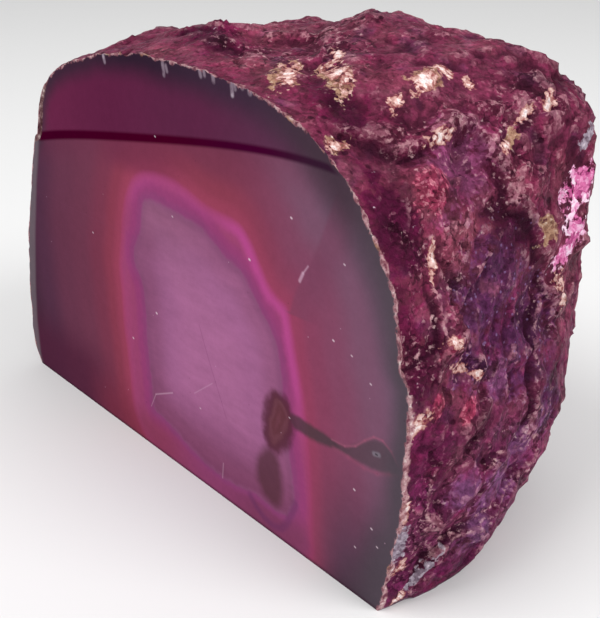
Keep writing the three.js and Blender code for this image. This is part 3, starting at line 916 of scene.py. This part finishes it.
def drawn(under, top, share, start, end, width, softness):
    """A stroke of one colour laid over another."""
    (ax, az), (bx, bz) = start, end
    mask = grouped(under.tree, "stroke", From_X=ax, From_Z=az, To_X=bx, To_Z=bz, Width=width,
                   Softness=softness)[0]
    return over(mask, under, top, share)


def drawn_along(under, top, share, line, width, softness):
    for start, end in zip(line[:-1], line[1:]):
        under = drawn(under, top, share, start, end, width, softness)
    return under


def bumps(height, size):
    """Fine relief of the surface, from a height in units of the given size."""
    inputs = {"Height": height, "Distance": size, "Strength": BUMP_STRENGTH}
    return put(height.tree, "ShaderNodeBump", inputs)[0]


def material(name):
    """A new material, with its tree and its Principled BSDF."""
    made = bpy.data.materials.new(name)
    made.use_nodes = True
    return made, made.node_tree, made.node_tree.nodes["Principled BSDF"]


# Thin marks of the polished face, as (x, z) and a width
FACE_FLECKS = [
    (62.8, 37, 0.6), (51.7, 26.8, 0.5), (97.5, 60.1, 0.55), (36.5, 49, 0.35), (110, 71.7, 0.45),
    (121.5, 51.8, 0.4), (127.8, 23.6, 0.45), (131.2, 47, 0.3), (124, 67, 0.3), (132.6, 17.5, 0.4),
    (134.2, 14.3, 0.3), (128.4, 11, 0.3), (109.2, 30.6, 0.2), (126.3, 50.6, 0.25), (71.4, 62, 0.3),
    (66.5, 78, 0.3), (78.5, 19.4, 0.25),
]
CRACK = [(79.5, 40), (82, 34), (84.6, 28.5), (86.6, 24.5), (88.2, 21)]
SCRATCHES = [
    ((57.8, 11), (60.2, 15.2), 0.05), ((60.2, 15.2), (67.5, 18.6), 0.12), ((76.5, 22.3), (83.5, 27.6), 0.02),
    ((86, 5), (86.5, 9), 0.08), ((112.3, 60.3), (113.2, 62), 0.35), ((113.2, 62), (114.6, 63.8), 0.15),
]
LASH = [
    (121.5, 31.4), (125, 31.6), (127.8, 32.9), (130.2, 35.2), (132.4, 36.9), (134.6, 37.2), (136.8, 36),
    (138.6, 33.8),
]
LOWER_LASH = [(122, 29.8), (126, 29.7), (130, 29.4), (133.5, 29.9), (136.5, 31.2), (139, 32)]
PUPIL = (133.2, 33.7)
# Drips under the rim: x, top, bottom, width
RIM_DRIPS = [
    (70.9, 93.4, 91.2, 0.5), (72, 93, 92, 0.4), (83.4, 94, 92.8, 0.5), (84.7, 94, 93, 0.4),
    (87.5, 93.8, 92.4, 0.5), (93.2, 93.8, 90.8, 0.5), (94.1, 93.2, 92, 0.4), (96.2, 93.8, 92.6, 0.5),
    (98.4, 93.6, 92, 0.6), (48, 91.8, 90.6, 0.5),
]

# Colours of the face, by distance outside the ring, by depth in the core, by x or by how pale a cloud is
LEFT_OF_RING = [(0, "#9c4264"), (1.5, "#944058"), (5, "#863b4f"), (10, "#77384d"), (18, "#6c384d"),
                (28, "#65364b"), (40, "#523045"), (50, "#462b3c")]
RIGHT_OF_RING = [(0, "#9a4064"), (2, "#8f405c"), (6, "#84415c"), (12, "#7f4660"), (20, "#785067"),
                 (28, "#6c5266"), (36, "#5c4e5c")]
ABOVE_BAND = [(12, "#64304a"), (22, "#662646"), (45, "#5d2241"), (80, "#5a2643"), (110, "#573049"),
              (130, "#4e364a")]
DARK_BAND = [(15, "#3e0020"), (70, "#40001e"), (100, "#3d0228"), (120, "#331a2e"), (127, "#2a1c28")]
IN_CORE = [(-18, "#a4668f"), (-9, "#9d618a"), (-3, "#94597e"), (-0.8, "#895175"), (0.4, "#8a4270"),
           (2.5, "#924070"), (5, "#97446c"), (9, "#9a456c")]
LOW_RING = [(60, "#8a3e5a"), (80, "#8c436b"), (100, "#7c3e5e")]
EYE_RINGS = [(-4.6, "#70404a"), (-3.4, "#64383f"), (-2.4, "#6d404a"), (-1.2, "#5a303d")]
STEM = [(110, "#50343f"), (114, "#463a3f"), (122, "#453a40"), (128, "#56424d"), (138, "#54464f")]
BROKEN_EDGE = [(-1, "#2c1a20"), (-0.3, "#553338"), (0.3, "#806263"), (1, "#c4b0ac")]
DRIP = [(-0.8, "#5c4557"), (0.2, "#8f7c8b"), (1, "#b5a5b2")]
PALE_CHIPS = [(-1, "#4f2434"), (-0.4, "#8d5862"), (0.2, "#c3979c"), (0.9, "#f5e1de")]
GOLDEN_CHIPS = [(-1, "#5c3030"), (0, "#a87c60"), (0.9, "#e2c8ac")]
UNDER_RIM = [(0, "#4e3a48"), (30, "#3a2636"), (60, "#2c1f2e"), (95, "#3b2a3b"), (120, "#44343f"),
             (138, "#50464f")]

# Tints of the ground: a fade in z, fades in x, colour, share
GROUND_TINTS = [
    ((22, 8), [(46, 26)], "#52243b", 0.75),  # low on the left
    ((16, 2), [(66, 46), (24, 40)], "#7a3044", 0.6),  # low, left of the ring
    ((34, 4), [(113, 126)], "#4e3b4c", 0.8),  # low on the right
    ((66, 71), [(84, 62), (40, 52)], "#6e2f48", 0.6),  # over the ring
]
# Tints of the core: a fade in z, fades in x, a fade inwards, colour, share
CORE_TINTS = [
    ((40, 62), [(94, 64)], (0.5, -2), "#8a5772", 0.6),  # greyer at the top
    ((62, 50), [(70, 60)], (0.3, -0.8), "#81496b", 0.5),  # and at the left
    ((26, 6), [], (0.5, -1.5), "#783f5d", 0.75),  # darker low down
]


def part_of_face(x, z, up, across):
    """1 in a soft-edged part of the face: past a fade in z and past some fades in x."""
    part = fade(z, *up)
    for ends in across:
        part = part * fade(x, *ends)
    return part


def face_ground(tree, x, z, ring, band):
    """The stone outside the ring: red near it, violet grey away from it, purple above the dark band."""
    stone = over(fade(x, 88, 116), ramp(ring, LEFT_OF_RING), ramp(ring, RIGHT_OF_RING))
    flare = held(tree, "face_flare")
    stone = over(fade(flare, 0.5, -0.7) * fade(flare, NOT_THERE, -3), stone, "#75415a", 0.55)
    for up, across, tint, share in GROUND_TINTS:
        stone = over(part_of_face(x, z, up, across), stone, tint, share)
    stone = over(fade(band, -0.5, 0.8), stone, ramp(x, ABOVE_BAND))
    return over(fade(band, -9, -1) * fade(band, 0.5, -0.5), stone, "#6b3049", 0.3)


def face_band(tree, stone, x, band):
    """The thin dark band that runs across the top of the face."""
    half_width = straight(x, 15, 125, 1.15, 0.65)
    on_band = fade(half_width - abs(band), -0.45, 0.45)
    inside = fade(held(tree, "face_rim"), 0.0, 1.5) * fade(x, 12.0, 14.5)
    return over(on_band * inside, stone, ramp(x, DARK_BAND))


def face_core(tree, stone, x, z, ring, core, streaks):
    """The ring with its bright outer line, and the pale core inside it."""
    inside = ramp(core, IN_CORE)
    for up, across, depth, tint, share in CORE_TINTS:
        inside = over(part_of_face(x, z, up, across) * fade(core, *depth), inside, tint, share)
    inside = over(fade(z, 11, 4) * fade(core, 0.3, 2.0), inside, ramp(x, LOW_RING), 0.85)
    inside = scaled(inside, 1.0 + streaks * fade(core, 1.0, -1.5) * 0.07)
    stone = over(fade(ring, 1.2, -1.8), stone, inside)
    glow = fade(abs(ring + 1.2), 2.4, 0.0)
    right = fade(x, 84, 100) * fade(z, 22, 42) * 0.7
    top = fade(z, 56, 66) * 0.25
    stone = over(glow * (right + top + 0.05), stone, "#b44a8b")
    return over(fade(held(tree, "face_cup"), 1.5, 0.2), stone, "#69365f", 0.55)


def face_eye(tree, stone, x):
    """The brown eye with its stem that opens into a second, smaller eye, and the stain under it."""
    stain = edged(held(tree, "face_stain"), width=0.3, reach=0.45, size=5.0, softness=3.2)
    stone = over(stain, stone, "#56333d", 0.85)
    eye = held(tree, "face_eye") + cloudy(tree, 4.5, 0.9)
    stone = over(fade(eye, 1.4, -1.0), stone, "#562c3a", 0.9)
    stone = over(fade(eye, -0.5, -2.0), stone, ramp(eye, EYE_RINGS), 0.75)
    stem = edged(held(tree, "face_vein"), width=0.0, reach=0.3, size=4.0, softness=1.3)
    stone = over(stem, stone, ramp(x, STEM), 0.85)
    stone = drawn_along(stone, "#a05a73", 0.7, LASH, width=0.12, softness=0.8)
    stone = drawn_along(stone, "#97506a", 0.4, LOWER_LASH, width=0.3, softness=1.2)
    px, pz = PUPIL
    start, end = (px - 0.6, pz - 0.1), (px + 0.6, pz + 0.2)
    stone = drawn(stone, "#8a8490", 0.55, start, end, width=0.45, softness=0.7)
    return drawn(stone, "#2c2429", 0.9, (px - 0.2, pz), (px + 0.2, pz), width=0.15, softness=0.4)


def face_edges(tree, stone, x, z, clouds):
    """The grey zone under the rim, the bevelled strip on the left and the dark line along the bottom."""
    grey = held(tree, "face_grey") + clouds * 0.12
    stone = over(fade(grey, 1.15, 0.1), stone, ramp(x, UNDER_RIM), 0.95)
    strip = fade(held(tree, "face_left_edge"), 3.0, 1.4) * fade(x, 16, 11)
    stone = over(strip, stone, "#7c7379", 0.5)
    return over(fade(z, 1.0, 0.2), stone, "#3a2030", 0.6)


def face_corner(tree, stone, x, z):
    """The rough broken edge at the top left, where the polish stops short of the rim."""
    width = fade(x, 24, 12) * fade(z, 65, 69) * 2.8
    broken = edged(held(tree, "face_rim"), width, reach=0.5, size=2.5, softness=0.5) * fade(width, 0.1, 0.7)
    return over(broken, stone, ramp(cloudy(tree, 1.5), BROKEN_EDGE), 0.9)


def face_wear(tree, stone, fine_clouds):
    """Cracks, scratches, flecks and dust in the polish, and the small drips under the rim."""
    stone = drawn_along(stone, "#6b3560", 0.5, CRACK, width=0.05, softness=0.5)
    for start, end, width in SCRATCHES:
        stone = drawn(stone, "#d3abc3", 0.5, start, end, width, 0.5)
    for x, z, width in FACE_FLECKS:
        stone = drawn(stone, "#ead3df", 0.75, (x - 0.1, z), (x + 0.15, z - 0.1), width / 3, 0.4)
    drip = ramp(fine_clouds, DRIP)
    for x, top, bottom, width in RIM_DRIPS:
        stone = drawn(stone, drip, 0.75, (x, top), (x + 0.3, bottom), width, 0.6)
    stone = over(flecked(tree, spacing=4.2, radius=0.2, share=0.4), stone, "#c39fb4", 0.45)
    return over(flecked(tree, spacing=3.1, radius=0.25, share=0.3), stone, "#3a1c30", 0.25)


def rim_chips(distance, width):
    """Pale chips along the sharp edge round the polished face: where they are, and their colour."""
    tree = distance.tree
    crumbs = cloudy(tree, 1.1)
    mask = edged(distance, width, reach=0.7, size=2.2, softness=0.35) * fade(crumbs, -1.1, -0.2)
    golden = fade(cloudy(tree, 3.5), 0.3, 1.0)
    return mask, over(golden, ramp(crumbs, PALE_CHIPS), ramp(crumbs, GOLDEN_CHIPS))


def polished_agate():
    made, tree, shader = material("polished_agate")
    clouds, fine_clouds = cloudy(tree, 18.0), cloudy(tree, 2.2)
    turn = {"Vector": place_mm(tree), "Rotation": (0, math.radians(22), 0), "Scale": (0.25, 1, 1)}
    streaks = straight(noise(put(tree, "ShaderNodeMapping", turn)[0], 2.4, 4.0, 0.6), 0.3, 0.7, -1.0, 1.0)
    x, z = in_cut_frame(tree)
    band = held(tree, "face_band")
    ring = held(tree, "face_ring") + clouds * 0.4 + fine_clouds * 0.15
    core = held(tree, "face_core") + clouds * 0.3 + fine_clouds * 0.35
    stone = face_ground(tree, x, z, ring, band)
    stone = face_core(tree, stone, x, z, ring, core, streaks)
    stone = face_eye(tree, stone, x)
    stone = face_edges(tree, stone, x, z, clouds)
    stone = face_band(tree, stone, x, band)
    stone = face_corner(tree, stone, x, z)
    stone = face_wear(tree, stone, fine_clouds)
    stone = scaled(stone, 1.0 + clouds * 0.05 + fine_clouds * 0.04 + cloudy(tree, 0.7) * 0.03)
    chips, chip_colour = rim_chips(held(tree, "face_rim"), straight(clouds, -1, 1, 0.1, 0.5))
    join(shader, {
        "Base Color": over(chips, stone, chip_colour, 0.85),
        "Roughness": straight(chips, 0, 1, 0.09, 0.6),
        "Specular IOR Level": 0.0,
    })
    return made


# Colours of the rind, by how pale the clouds or the grit are there
CRUST = [(-1, "#5b1833"), (-0.2, "#6d2843"), (0.5, "#7c364b"), (1.2, "#874556")]
RASPBERRY = [(-1.2, "#571430"), (0, "#983452"), (1.2, "#cf7488")]
# Pale crests, lips, chip edges and seams; on the crests, lips and chip edges it is partly painted highlight
WEAR_AND_HIGHLIGHT = [(-0.8, "#7d4053"), (0, "#a8707e"), (0.6, "#c99aa0"), (1.1, "#ecd0cc")]
TAN = [(-1, "#4a2a2c"), (-0.3, "#8c6452"), (0.3, "#b48c72"), (1, "#ead6c6")]
# Pink patches, with a painted highlight in the palest stops
PINK_AND_SHEEN = [(-1.1, "#7c2656"), (-0.55, "#b04680"), (-0.1, "#dc72a8"), (0.3, "#f0a4ce"), (0.8, "#fde2f4")]
CREAM = [(0, "#7a3244"), (0.2, "#9c5a58"), (0.42, "#c4938c"), (0.75, "#e6beb8"), (1.1, "#f8e8e6"),
         (1.6, "#d6c6cc")]
SILVER = [(-1, "#4f3c4e"), (-0.2, "#857584"), (0.4, "#a99cab"), (1, "#ddd2dc")]
# Painted shade for the hollows, the pits and under the ledges, and the dark of the cracks between chips
SHADE_AND_CRACK_DARK = "#29051a"

# Zones of the rind: mark, where its edge fades from and to, how far it wanders, colour, share
GROUND_ZONES = [
    ("violet", -0.25, 0.45, "#532650", 0.85), ("mauve", -0.15, 0.5, "#7d3c62", 0.85),
    ("crimson", -0.2, 0.4, "#63123a", 0.85),
]
ZONE_WANDER = 0.35
BIG_CHIPS = {"Size": 5.5, "Wander": 0.6, "Lean": 0.5}
SMALL_CHIPS = {"Size": 1.9, "Wander": 0.7, "Lean": 0.5}
GRAIN_SIZE = 0.75
GRIT, CLOUDS, PITS = 0.28, 0.15, -0.5  # what each adds to the height of the rind's fine bumps
BUMP_STRENGTH = 0.8
SPOTS = [(6.1, "#7d1f47"), (7.3, "#512848"), (8.9, "#3d0c26"), (4.7, "#8a4a5e")]  # size, colour


def rind_ground(tree, clouds, grit, zone):
    """The rind's colours: maroon crust with violet and crimson zones where it has broken off, dark zones of
    painted shade, and red patches.
    """
    stone = ramp(clouds, CRUST)
    for name, start, end, code, share in GROUND_ZONES:
        stone = over(zone(name, start, end, ZONE_WANDER), stone, code, share)
    low = fade(in_cut_frame(tree)[1] + clouds * 8.0, 62, 20)
    stone = over(low, stone, "#5e2858", 0.35)
    stone = over(low * zone("mauve", -0.15, 0.5, ZONE_WANDER), stone, "#7f5280", 0.5)
    for size, code in SPOTS:
        stone = over(fade(cloudy(tree, size), 0.15, 0.75), stone, code, 0.5)
    # Painted shade in the dark zones
    stone = over(zone("shade", -0.2, 0.4, ZONE_WANDER), stone, "#3d0826", 0.85)
    return over(zone("red", 0.02, 0.3, 0.22), stone, ramp(grit, RASPBERRY), 0.85)


def painted_shade_and_cracks(tree, rough, grit, big):
    """1 where shade is painted, in the hollows and as a shadow under the ledges, and in the dark cracks
    between chips.
    """
    hollow = highest(fade(held(tree, "rind_swell"), 0.0, -2.4, 0.4),
                     fade(held(tree, "rind_crest"), -0.05, -0.45, 0.55))
    cracks = fade(big["Border"], 0.5, 0.05) * fade(grit, 0.4, -0.3) * straight(rough, 0, 1, 0.3, 0.75)
    shadow = fade(held(tree, "rind_ledge_shadow"), 0.15, 0.9) * 0.85
    not_mauve = fade(held(tree, "rind_mauve"), 0.5, -0.1)
    return highest(hollow, cracks, shadow) * not_mauve * fade(held(tree, "rind_red"), 0.4, -0.2)


def rind_texture(tree, stone, rough, grit, big, small):
    """Chips of different tones, dark cracks, painted shade in the hollows, sandy grain, and pale edges that
    are partly wear and partly painted highlight.
    """
    tone = 1.0 + (big["Tone"] + small["Tone"] - 1.0) * straight(rough, 0, 1, 0.4, 0.65)
    stone = scaled(stone, tone * straight(grit, -1, 1, 0.52, 1.45))
    # Painted shade in the hollows and painted shadow under the ledges, with the dark cracks between chips
    stone = over(painted_shade_and_cracks(tree, rough, grit, big), stone, SHADE_AND_CRACK_DARK)
    shade = held(tree, "rind_shade")
    crest = held(tree, "rind_crest") + grit * 0.12
    # Pale crests, lips and chip edges, partly wear and partly painted highlight, kept out of the painted
    # shade
    worn_and_highlit = (fade(crest, 0.15, 0.38) * fade(small["Tone"], 0.35, 0.8) * straight(rough, 0, 1, 0.5, 0.75)
            * fade(shade, 0.9, 0.2))
    lip = fade(held(tree, "rind_lip"), 0.3, 0.9) * fade(grit, -0.2, 0.5) * fade(shade, 0.7, 0.0) * 0.8
    line = fade(abs(big["Border"] - 0.4), 0.4, 0.1)
    edges = line * fade(grit, 0.2, 0.7) * rough * 0.7
    return over(highest(worn_and_highlit, edges, lip), stone, ramp(grit, WEAR_AND_HIGHLIGHT), 0.75)


def rind_specks(tree, stone, fine_clouds, pits, zone):
    """Pale specks painted as glints, pale violet specks that are partly painted sparkle and dark grains in
    the violet zones, and painted shade in the pits.
    """
    # Pale specks painted as glints
    crumbs = flecked(tree, spacing=1.5, radius=0.25, share=0.2)
    stone = over(crumbs * fade(fine_clouds, -0.2, 0.9), stone, "#c998a2", 0.5)
    clean_break = zone("violet", -0.25, 0.45, ZONE_WANDER)
    # Pale violet specks, partly painted sparkle
    stone = over(flecked(tree, spacing=1.2, radius=0.38, share=0.45) * clean_break, stone, "#9070a0", 0.55)
    stone = over(flecked(tree, spacing=1.7, radius=0.6, share=0.45) * clean_break, stone, "#2e0f2c", 0.45)
    # Painted shade in the pits
    return over(pits, stone, SHADE_AND_CRACK_DARK, 0.75)


def rind_patches(tree, stone, zone, grit, chunk, fine_clouds, silvery):
    """Seams and patches of pale, pink, tan and grey crystal on the rind, with painted highlight on the pink
    patches and on a few pale ones.
    """
    seam = edged(held(tree, "rind_seam"), width=0.2, reach=0.8, size=2.6, softness=0.5)
    stone = over(seam * fade(grit, -0.5, 0.4), stone, ramp(grit, WEAR_AND_HIGHLIGHT), 0.85)
    stone = over(zone("ochre", 0.05, 0.35, 0.45), stone, ramp(grit, TAN), 0.9)
    # Pink patches, partly pink crystal and partly painted highlight
    stone = over(zone("blush_and_sheen", -0.05, 0.3, 0.6), stone, ramp(chunk * 0.6 + grit * 0.6, PINK_AND_SHEEN))
    # Pale patches, a few of them painted highlights
    pale = held(tree, "rind_pale") + fine_clouds * 0.35 + grit * 0.45
    crumbs = fade(pale, 0.05, 0.25) * fade(grit, -1.0, -0.5)
    stone = over(crumbs, stone, ramp(pale + grit * 0.35, CREAM))
    return over(silvery, stone, ramp(grit, SILVER), 0.9)


def rind_borders(tree, stone, fine_clouds, silvery):
    """The pale chips along the polished face's rim, wider low on the right, and the sawn border below."""
    x, z = in_cut_frame(tree)
    low_right = fade(x, 118, 130) * fade(z, 52, 44)
    width = straight(fine_clouds, -0.8, 0.8, -0.4, 0.7) + low_right
    chips, chip_colour = rim_chips(held(tree, "rind_rim"), width)
    stone = over(chips * (1.0 - silvery), stone, chip_colour, 0.9)
    foot = edged(held(tree, "rind_foot"), width=0.4, reach=0.5, size=2.0, softness=0.5)
    return over(foot, stone, "#8f8690", 0.6)


def rough_rind():
    made, tree, shader = material("rough_rind")
    clouds, fine_clouds = cloudy(tree, 20.0), cloudy(tree, 3.0)
    grit = cloudy(tree, 1.1, 0.65) + grouped(tree, "sugar_grain", Size=GRAIN_SIZE)[0] * 0.5
    big = grouped(tree, "chipped_stone", **BIG_CHIPS)
    small = grouped(tree, "chipped_stone", **SMALL_CHIPS)
    chunk = straight(small["Tone"], 0, 1, -1, 1)
    from_seam = held(tree, "rind_seam") + fine_clouds * 1.5
    rough = highest(fade(from_seam, 8, 2.5), fade(clouds, 0.1, 0.7, 0.9))

    def zone(name, start, end, wander):
        """A zone of the rind with an edge that the clouds move."""
        moved = held(tree, "rind_" + name) + fine_clouds * wander
        return fade(moved + grit * (wander * 0.7) + chunk * (wander * 0.5), start, end)

    pits = flecked(tree, spacing=3.6, radius=0.75, share=0.35)
    silvery = zone("grey", 0.0, 0.3, 0.4)
    stone = rind_ground(tree, clouds, grit, zone)
    stone = rind_texture(tree, stone, rough, grit, big, small)
    stone = rind_specks(tree, stone, fine_clouds, pits, zone)
    stone = rind_patches(tree, stone, zone, grit, chunk, fine_clouds, silvery)
    chipped = (big["Height"] + small["Height"]) * straight(rough, 0, 1, 0.8, 1.2)
    height = chipped + grit * GRIT + fine_clouds * CLOUDS + pits * PITS
    join(shader, {
        "Base Color": rind_borders(tree, stone, fine_clouds, silvery),
        "Roughness": straight(fine_clouds, -1.2, 1.2, 0.7, 0.35),
        "Specular IOR Level": 0.05,
        "Normal": bumps(height, MM),
    })
    return made


SAW_DEPTH = 0.08 * MM
SAWN_COLOURS = [(-1, "#4a2638"), (0, "#6d3a52"), (1, "#84506a")]


def sawn_stone():
    """The sawn base: matt, with the fine marks that the saw left side by side."""
    made, tree, shader = material("sawn_stone")
    fine_clouds = cloudy(tree, 1.6)
    stone = ramp(cloudy(tree, 24.0), SAWN_COLOURS)
    split = put(tree, "ShaderNodeSeparateXYZ", {0: place_mm(tree)})
    along = split["Y"] * 0.9 + split["X"] * 0.16
    saw = along.maths("SINE", along * 3.1 + fine_clouds)
    stone = over(fade(saw, 0.3, 1.0, 0.25), stone, "#a98a98")
    height = saw * 0.5 + fine_clouds * 0.3
    join(shader, {
        "Base Color": over(flecked(tree, spacing=6.0, radius=0.7, share=0.3), stone, "#bfa5ae", 0.6),
        "Roughness": 0.7,
        "Normal": bumps(height, SAW_DEPTH),
    })
    return made


def make_stone():
    for make_group in (stone_clouds, ragged_edge, flecks, sugar_grain, chipped_stone, stroke):
        make_group()
    mesh = stone_mesh()
    for finish in (polished_agate, rough_rind, sawn_stone):
        mesh.materials.append(finish())
    stone = bpy.data.objects.new("agate_stone", mesh)
    bpy.context.scene.collection.objects.link(stone)
    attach(stone, "root")
    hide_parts("agate_block")


FLOOR_SIZE = 4.0
FLOOR_GREY = (0.8, 0.8, 0.8, 1)
CAMERA_AT = (239.3, -108.05, 129.0)  # in the cut frame
CAMERA_TURN = 49.59  # degrees from straight in front of the polished face, round to its right
CAMERA_PITCH = 24.0  # degrees down
PICTURE_LONG_SIDE = 618
FOCAL_PIXELS = 1000
SENSOR = 36.0
LAMPS = [("key_light", (-0.1, -0.5, 0.9), 0.6, 4.4), ("side_light", (0.7, 0.2, 0.7), 0.5, 4)]
LAMPS_AIM = (0, 0, 0.05)
SKY_STRENGTH = 0.68


def make_floor():
    mesh = bpy.data.meshes.new("floor")
    half = FLOOR_SIZE / 2
    corners = [(-half, -half, 0), (half, -half, 0), (half, half, 0), (-half, half, 0)]
    mesh.from_pydata(corners, [], [(0, 1, 2, 3)])
    floor = bpy.data.objects.new("floor", mesh)
    bpy.context.scene.collection.objects.link(floor)
    made, _, shader = material("pale_floor")
    join(shader, {"Base Color": FLOOR_GREY, "Roughness": 0.9, "Specular IOR Level": 0.1})
    mesh.materials.append(made)


def make_light(name, at, size, power):
    lamp = bpy.data.lights.new(name, "AREA")
    lamp.shape = "DISK"
    lamp.size = size
    lamp.energy = power
    light = bpy.data.objects.new(name, lamp)
    light.location = at
    light.rotation_euler = (Vector(LAMPS_AIM) - Vector(at)).to_track_quat("-Z", "Y").to_euler()
    bpy.context.scene.collection.objects.link(light)


def make_studio():
    make_floor()
    for lamp in LAMPS:
        make_light(*lamp)
    world = bpy.data.worlds.new("studio")
    world.use_nodes = True
    join(world.node_tree.nodes["Background"], {"Color": (1, 1, 1, 1), "Strength": SKY_STRENGTH})
    bpy.context.scene.world = world
    bpy.context.scene.view_settings.view_transform = "Standard"


def make_camera():
    lens = bpy.data.cameras.new("camera")
    lens.sensor_width = SENSOR
    lens.lens = FOCAL_PIXELS * SENSOR / PICTURE_LONG_SIDE
    camera = bpy.data.objects.new("camera", lens)
    camera.location = cut_corner() + Vector(CAMERA_AT) * MM
    turn, pitch = math.radians(CAMERA_TURN), math.radians(CAMERA_PITCH)
    ahead = Vector((-math.sin(turn) * math.cos(pitch), math.cos(turn) * math.cos(pitch), -math.sin(pitch)))
    camera.rotation_euler = ahead.to_track_quat("-Z", "Y").to_euler()
    bpy.context.scene.collection.objects.link(camera)
    bpy.context.scene.camera = camera


make_camera()
make_studio()
make_stone()
